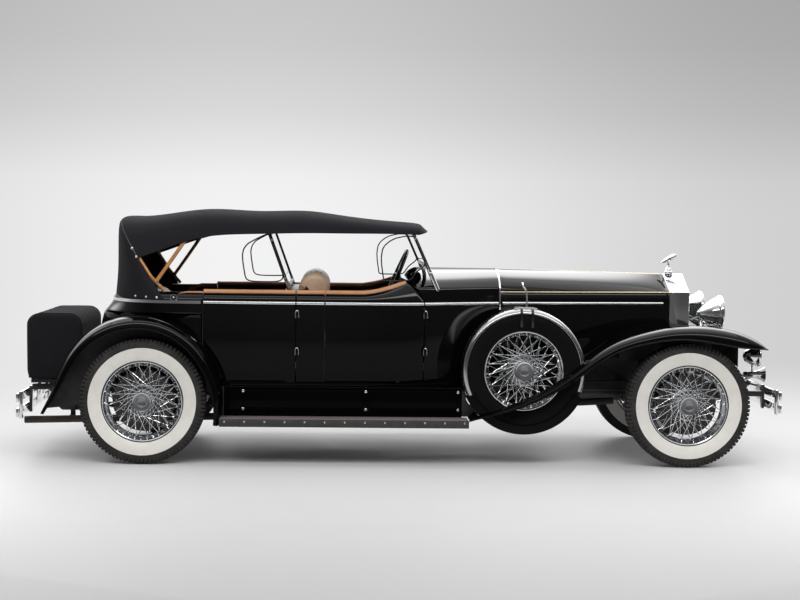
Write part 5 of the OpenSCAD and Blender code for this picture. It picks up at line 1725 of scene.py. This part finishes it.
def trunk_outline():
    """Side view of the trunk, open at its foot."""
    arcs = [np.linspace((-2534, 536), (-2541, 600), 8)]
    a = np.radians(np.linspace(180, 92, 16))
    arcs.append(np.stack([-2446 + 96 * np.cos(a), 900 + 82 * np.sin(a)], 1))
    a = np.radians(np.linspace(88, 0, 16))
    arcs.append(np.stack([-2254 + 88 * np.cos(a), 898 + 84 * np.sin(a)], 1))
    arcs.append(np.linspace((-2166, 600), (-2172, 536), 8))
    return evenly(np.concatenate(arcs), 96)


def trunk_stations():
    """Distance from the car's middle and inset of each ring of the trunk."""
    turns = np.radians(np.linspace(90, 0, 9))
    edge = [(-TRUNK_HALF + TRUNK_EDGE * (1 - math.sin(t)), TRUNK_EDGE * (1 - math.cos(t))) for t in turns]
    flat = TRUNK_HALF - TRUNK_EDGE
    middle = [(y, 0.0) for y in np.linspace(-flat, flat, 30)[1:-1]]
    return edge + middle + [(-y, inset) for y, inset in edge[::-1]]


outline = trunk_outline()
normal = np.gradient(outline, axis=0)
normal = np.stack([-normal[:, 1], normal[:, 0]], 1) / np.linalg.norm(normal, axis=1)[:, None]
rings, spread = [], []
for y, inset in trunk_stations():
    ring = outline - normal * inset
    ring[:, 1] = np.maximum(ring[:, 1], TRUNK_LOW + 1)
    waves = np.sin(ring[:, 0] * 0.021 + y * 0.013) * np.sin(y * 0.017 + ring[:, 1] * 0.011)
    ring = ring - normal * np.clip(TRUNK_SAG * waves + TRUNK_SAG, 0, 2 * TRUNK_SAG)[:, None]
    rings.append(np.stack([ring[:, 0], 0 * ring[:, 0] + y, ring[:, 1]], 1))
    spread += [(y * MM, k * 0.0125) for k in range(len(ring))]
trunk_grid = np.array(rings)
rows, cols = trunk_grid.shape[:2]
faces = grid_faces(rows, cols)
faces += [tuple(range(cols)), tuple(range((rows - 1) * cols, rows * cols))[::-1]]
for foot in range(0, (rows - 1) * cols, cols):
    faces.append((foot, foot + cols, foot + 2 * cols - 1, foot + cols - 1))
trunk = tidy(new_piece("trunk_cover", trunk_grid.reshape(-1, 3), faces, trunk_cloth, spread), 55.0)
wear(trunk, "car", "trunk")
welts = [trunk_grid[k][2:-2] + (0, dy, 0) for k, dy in ((6, -1.0), (rows - 7, 1.0))]
wear(tubes("trunk_welts", welts, 3.2, trunk_cloth, both=False, sides=8), "car")
print("trunk rings", rows)

# %% [markdown]
# ## Seats
# Each cushion is a crowned, closed form with sewn channels from front to back. The channels are
# drawn in the mesh: a padded row between two seams swells, and a seam pulls in.

# %% Seat pads
CHANNEL, SEAM_DEPTH, SEAT_EDGE, SLACK = 72.0, 9.0, 42.0, 3.0


def rounded_loop(corners, radius, steps=7):
    """Closed outline with rounded corners."""
    corners = np.array(corners, float)
    loop = []
    for before, here, after in zip(np.roll(corners, 1, 0), corners, np.roll(corners, -1, 0)):
        a, b = before - here, after - here
        cut = min(radius, np.linalg.norm(a) * 0.45, np.linalg.norm(b) * 0.45)
        start, end = here + a / np.linalg.norm(a) * cut, here + b / np.linalg.norm(b) * cut
        for t in np.linspace(0, 1, steps):
            loop.append((1 - t) ** 2 * start + 2 * t * (1 - t) * here + t * t * end)
    return evenly(np.array(loop + [loop[0]]), 121)[:-1]


def pad_stations(half):
    """Places across a pad: close together in its round ends, even between them."""
    ends = [-half + SEAT_EDGE * (1 - math.sin(t)) for t in np.radians(np.linspace(90, 4, 12))]
    flat = half - SEAT_EDGE
    return ends[:-1] + list(np.linspace(-flat, flat, 210)) + [-y for y in ends[-2::-1]]


def pad_rings(outline, half, strength):
    """The pad's outline at each place across it, pulled in at the ends and at the seams."""
    ahead = np.roll(outline, -1, 0) - np.roll(outline, 1, 0)
    normal = np.stack([ahead[:, 1], -ahead[:, 0]], 1) / np.linalg.norm(ahead, axis=1)[:, None]
    if ((outline - outline.mean(0)) * normal).sum() < 0:
        normal = -normal
    rings = []
    for y in pad_stations(half):
        reach = max(0.0, (abs(y) - half + SEAT_EDGE) / SEAT_EDGE)
        inset = SEAT_EDGE * (1 - math.sqrt(max(0.0, 1 - reach * reach)))
        seam = 1 - abs(math.sin(math.pi * y / CHANNEL)) ** 0.55
        pull = inset + strength * SEAM_DEPTH * seam * (1 - reach) + SLACK
        ring = outline - normal * pull[:, None]
        rings.append(np.stack([ring[:, 0], 0 * ring[:, 0] + y, ring[:, 1]], 1))
    return np.array(rings)


def seat_pad(name, corners, width, node, quilt, radius=60.0):
    """A pad with its side view as corners (x, z). quilt gives how strongly each point is channelled."""
    outline = rounded_loop(corners, radius)
    grid = pad_rings(outline, width / 2, np.array([quilt(x, z) for x, z in outline]))
    rows, cols = grid.shape[:2]
    points = np.concatenate([grid.reshape(-1, 3), [grid[0].mean(0), grid[-1].mean(0)]])
    last = rows * cols
    faces = []
    for j in range(cols):
        after = (j + 1) % cols
        for i in range(0, last - cols, cols):
            faces.append((i + j, i + after, i + after + cols, i + j + cols))
        faces.append((after, j, last))
        faces.append((last - cols + j, last - cols + after, last + 1))
    piece = tidy(new_piece(name, points, faces, tan_leather), 70.0)
    wear(piece, "car", node)
    return piece


print("places across a pad", len(pad_stations(565.0)))

# %% Seats
FRONT_CUSHION = [(-630, 576), (-110, 576), (-100, 800), (-130, 850), (-600, 815), (-630, 790)]
REAR_CUSHION = [(-1690, 576), (-1250, 576), (-1236, 800), (-1266, 855), (-1660, 826), (-1690, 800)]
dome = np.radians(np.linspace(0, 180, 13))
FRONT_BACK = [(-667.7, 852), (-500, 868)]
FRONT_BACK += [(-596.7 + 108 * math.cos(a), 1166 + 108 * math.sin(a)) for a in dome]
FRONT_BACK += [(-704.7, 1150), (-667.7, 1150)]
REAR_BACK = [
    (-1790, 862), (-1600, 872), (-1642, 1080), (-1680, 1122), (-1730, 1136), (-1786, 1122), (-1806, 1080),
]


def on_top(x, z):
    """A cushion's channels fade in towards its top."""
    return float(np.clip((z - 790) / 30, 0, 1))


def on_face(behind, low):
    """A back's channels are on its face, ahead of a line, and fade in above a height."""
    return lambda x, z: float(x > behind) * min(1.0, (z - low) / 40)


seat_pad("front_seat_cushion", FRONT_CUSHION, 1130, "seat_cushions", on_top)
seat_pad("rear_seat_cushion", REAR_CUSHION, 960, "seat_cushions", on_top)
seat_pad("front_seat_back", FRONT_BACK, 1150, "seat_backs", on_face(-600, 840))
seat_pad("rear_seat_back", REAR_BACK, 900, "seat_backs", on_face(-1700, 850))
print("channel", CHANNEL)

# %% [markdown]
# ## Trim
# Small bright parts tell the eye how big the car is: the bands and straps of the spare wheels, the
# band between cowl and bonnet, the turn-buttons of the apron, the rivets of the running board, the
# loops of the hinges and the dials. Each is a swept or turned section, or a stud set by the tree.

# %% Cowl band
COWL_BAND_X = 676.0


def hoop_out(path, centre):
    """Outward directions of a path in a plane across the car, seen from a centre."""
    ahead = np.gradient(np.asarray(path, float), axis=0)
    out = np.cross(ahead, (1.0, 0, 0))
    side = np.einsum("ij,ij->i", out, np.asarray(path) - centre)
    return out * np.where(side < 0, -1, 1)[:, None]


def strip(width, thick):
    """Section of a flat strip, sunk 1 mm into what it lies on."""
    return [(-1, -width / 2), (thick, -width / 2), (thick, width / 2), (-1, width / 2)]


cowl_half = np.array([p for p in cowl_section(lambda s: COWL_BAND_X, 0.0) if p[2] > 1010])
cowl_path = np.concatenate([cowl_half, cowl_half[-2::-1] * flip_y])
cowl_out = hoop_out(cowl_path, np.array((COWL_BAND_X, 0, 900)))
swept("cowl_band", "car", [ribbon(cowl_path, strip(10, 3.5), cowl_out)], chrome, False)
print("cowl band points", len(cowl_path))

# %% Bands and straps of the spare wheels
BAND = [
    # radius, distance across
    (384, 84.6), (390, 83), (396, 80.5), (404, 75), (410, 68), (414, 58.5), (416.5, 45), (418, 24),
    (418.3, 0),
]
CLAMP_BLOCK = [(417, -52), (427, -46), (430, -20), (430, 20), (427, 46), (417, 52), (417, -52)]
STRAP = [(425, 46), (423, -10), (420, -50), (413, -68), (402, -82), (386, -88), (340, -90), (296, -84)]
band_loop = BAND + [(r, -w) for r, w in BAND[-2::-1]]
band_loop += [(r - 2, -w * 0.98) for r, w in BAND] + [(r - 2, w * 0.98) for r, w in BAND[-2::-1]] + [BAND[0]]
spare_bands = [
    lathe(band_loop, SPARE, (0, 1, 0), -226, 246, 100),
    lathe(CLAMP_BLOCK, SPARE, (0, 1, 0), -99.6, 21.3, 14),
]
swept("spare_bands", "car", spare_bands, band_nickel, True, 40.0)
straps = []
for dx in (-23.0, 51.0):
    line = batten([SPARE + (dx, w, math.sqrt(r * r - dx * dx)) for r, w in STRAP], 40)
    straps.append(ribbon(line, strip(17, 3), hoop_out(line, SPARE + (dx, 0, 300))))
swept("spare_straps", "car", straps, wheel_ebonite)
print("straps", 2 * len(straps))

# %% Mirrors on the spare wheels
STEM = [(832, -690, 1066), (832, -690, 1120), (829, -690, 1165), (816, -690, 1192), (802, -690, 1205)]
MIRROR = [(0, -5), (52, -5), (56, -3), (57, 0), (56, 4), (30, 8), (0, 9)]
wear(tubes("mirror_stems", [batten(STEM, 24)], 5.5, chrome), "car")
points, faces, uv = lathe(MIRROR, (0, 0, 0), (1, 0, 0), steps=40)
mirror = (points * (1, 1, 0.36) + (800, -690, 1212), faces, uv)
swept("spare_mirrors", "car", [mirror], chrome, True, 40.0)
print("mirrors", 2)

# %% Rivets, turn-buttons and snaps


def sideways(places, up=0.0):
    """Outward directions of places on the car's two sides."""
    return [(0, np.sign(y), up) for _, y, _ in places]


rivets = [(x, s * WING_OUT, 298) for x in np.linspace(-1178, 414, 13) for s in (-1, 1)]
studs("board_rivets", "car", rivets, sideways(rivets), 7.5, dull_nickel, 0.4)
buttons = [(x, s * 703.0, z) for x in (-1063, -242, 378) for z in (486, 366) for s in (-1, 1)]
studs("apron_buttons", "car", buttons, sideways(buttons), 11.0, chrome, 0.45)
cloth_points = canvas_grid[:, :46].reshape(-1, 3)
cloth_points = cloth_points * np.where(cloth_points[:, 1:2] > 0, flip_y, (1, 1, 1))
snaps = []
for x, z in ((-1792, 1103), (-1712, 1102), (-1636, 1102), (-1812, 1430), (-1778, 1378)):
    near = cloth_points[np.argmin(np.hypot(cloth_points[:, 0] - x, cloth_points[:, 2] - z))]
    snaps += [near, near * flip_y]
studs("canopy_snaps", "car", snaps, sideways(snaps, 0.15), 10.0, chrome, 0.7)
print("studs", len(rivets) + len(buttons) + len(snaps))

# %% Loops of the hinges
HINGE_LOOP = [(-6, -24), (-6, 10), (-3, 20), (5, 25), (13, 20), (16, 10), (16, -24)]
loops = []
for x in (FRONT_HINGE, REAR_HINGE):
    y = -float(half_w(x)) - 14
    for z in (755, 1004):
        loops.append(batten([(x + dx, y, z + dz) for dx, dz in HINGE_LOOP], 40))
wear(tubes("hinge_loops", loops, 3.2, chrome, sides=8), "car")
print("hinge loops", 2 * len(loops))

# %% Dials
DASH_X, DIAL_AXIS = 189, (-1, 0, 0)
DIALS = [(-190, 1120, 34), (-90, 1140, 46), (30, 1146, 56), (150, 1140, 46), (-290, 1105, 26)]
BEZEL = [(0.92, 1), (0.98, 4), (1.06, 5), (1.12, 2), (1.12, -3)]
bezels, dial_faces = [], []
for y, z, r in DIALS:
    bezels.append(lathe([(a * r, b) for a, b in BEZEL], (DASH_X, y, z), DIAL_AXIS, steps=48))
    dial_faces.append(lathe([(0, 1.5), (0.95 * r, 1.5)], (DASH_X, y, z), DIAL_AXIS, steps=48))
swept("dial_bezels", "car", bezels, chrome, False)
swept("dial_faces", "car", dial_faces, tyre_white, False)
print("dials", len(DIALS))

# %% [markdown]
# ## Closing the gaps
# Daylight and seat leather must not show through the car's joints. Plates carry the aprons on to
# the rear wing and to the spare wheel's well, and a dark strip stands behind each shut gap.

# %% Ends and moulding of the aprons
WELL_R = 430.0
end_z = np.linspace(322, 512, 20)[:, None]
rear_x = np.linspace(-1262, -1186, 4)[None, :] + 0 * end_z
well_edge = SPARE[0] - np.sqrt(WELL_R**2 - (SPARE[2] - end_z) ** 2)
front_x = 400 + (well_edge - 400) * np.linspace(0, 1, 4)[None, :]
end_plates = []
for end_x in (rear_x, front_x):
    outer, inner = (np.stack([end_x, 0 * end_x - y, end_z + 0 * end_x], 2) for y in (691, 686))
    end_plates += each_side(outer, inner)
wear(panels("apron_ends", end_plates, chassis_black, 0), "car")
apron_line = np.linspace((-1188, -703, 513), (402, -703, 513), 20)
wear(tubes("apron_mouldings", [apron_line], 3.2, black_lacquer), "car")
print("apron ends", len(end_plates))

# %% Strips behind the shut gaps
STRIP_HALF = (GAP - 2) / 2
STRIP = [(-6, -STRIP_HALF), (0, -STRIP_HALF), (0, STRIP_HALF), (-6, STRIP_HALF)]


def shut_line(x, low, high, count):
    """A line up the inside of a shut gap."""
    z = np.linspace(low, high, count)
    y = float(half_w(x)) - wall_inset(z) - 15
    return np.stack([0 * z + x + STRIP_HALF, -y, z], 1)


shut_lines = [shut_line(FRONT_SHUT, SILL + 4, RAIL - 8, 30), shut_line(REAR_SHUT, 775, RAIL - 4, 24)]
swept("shut_strips", "car", [ribbon(line, STRIP, AWAY) for line in shut_lines], chassis_black)
print("shut strips", 2 * len(shut_lines))
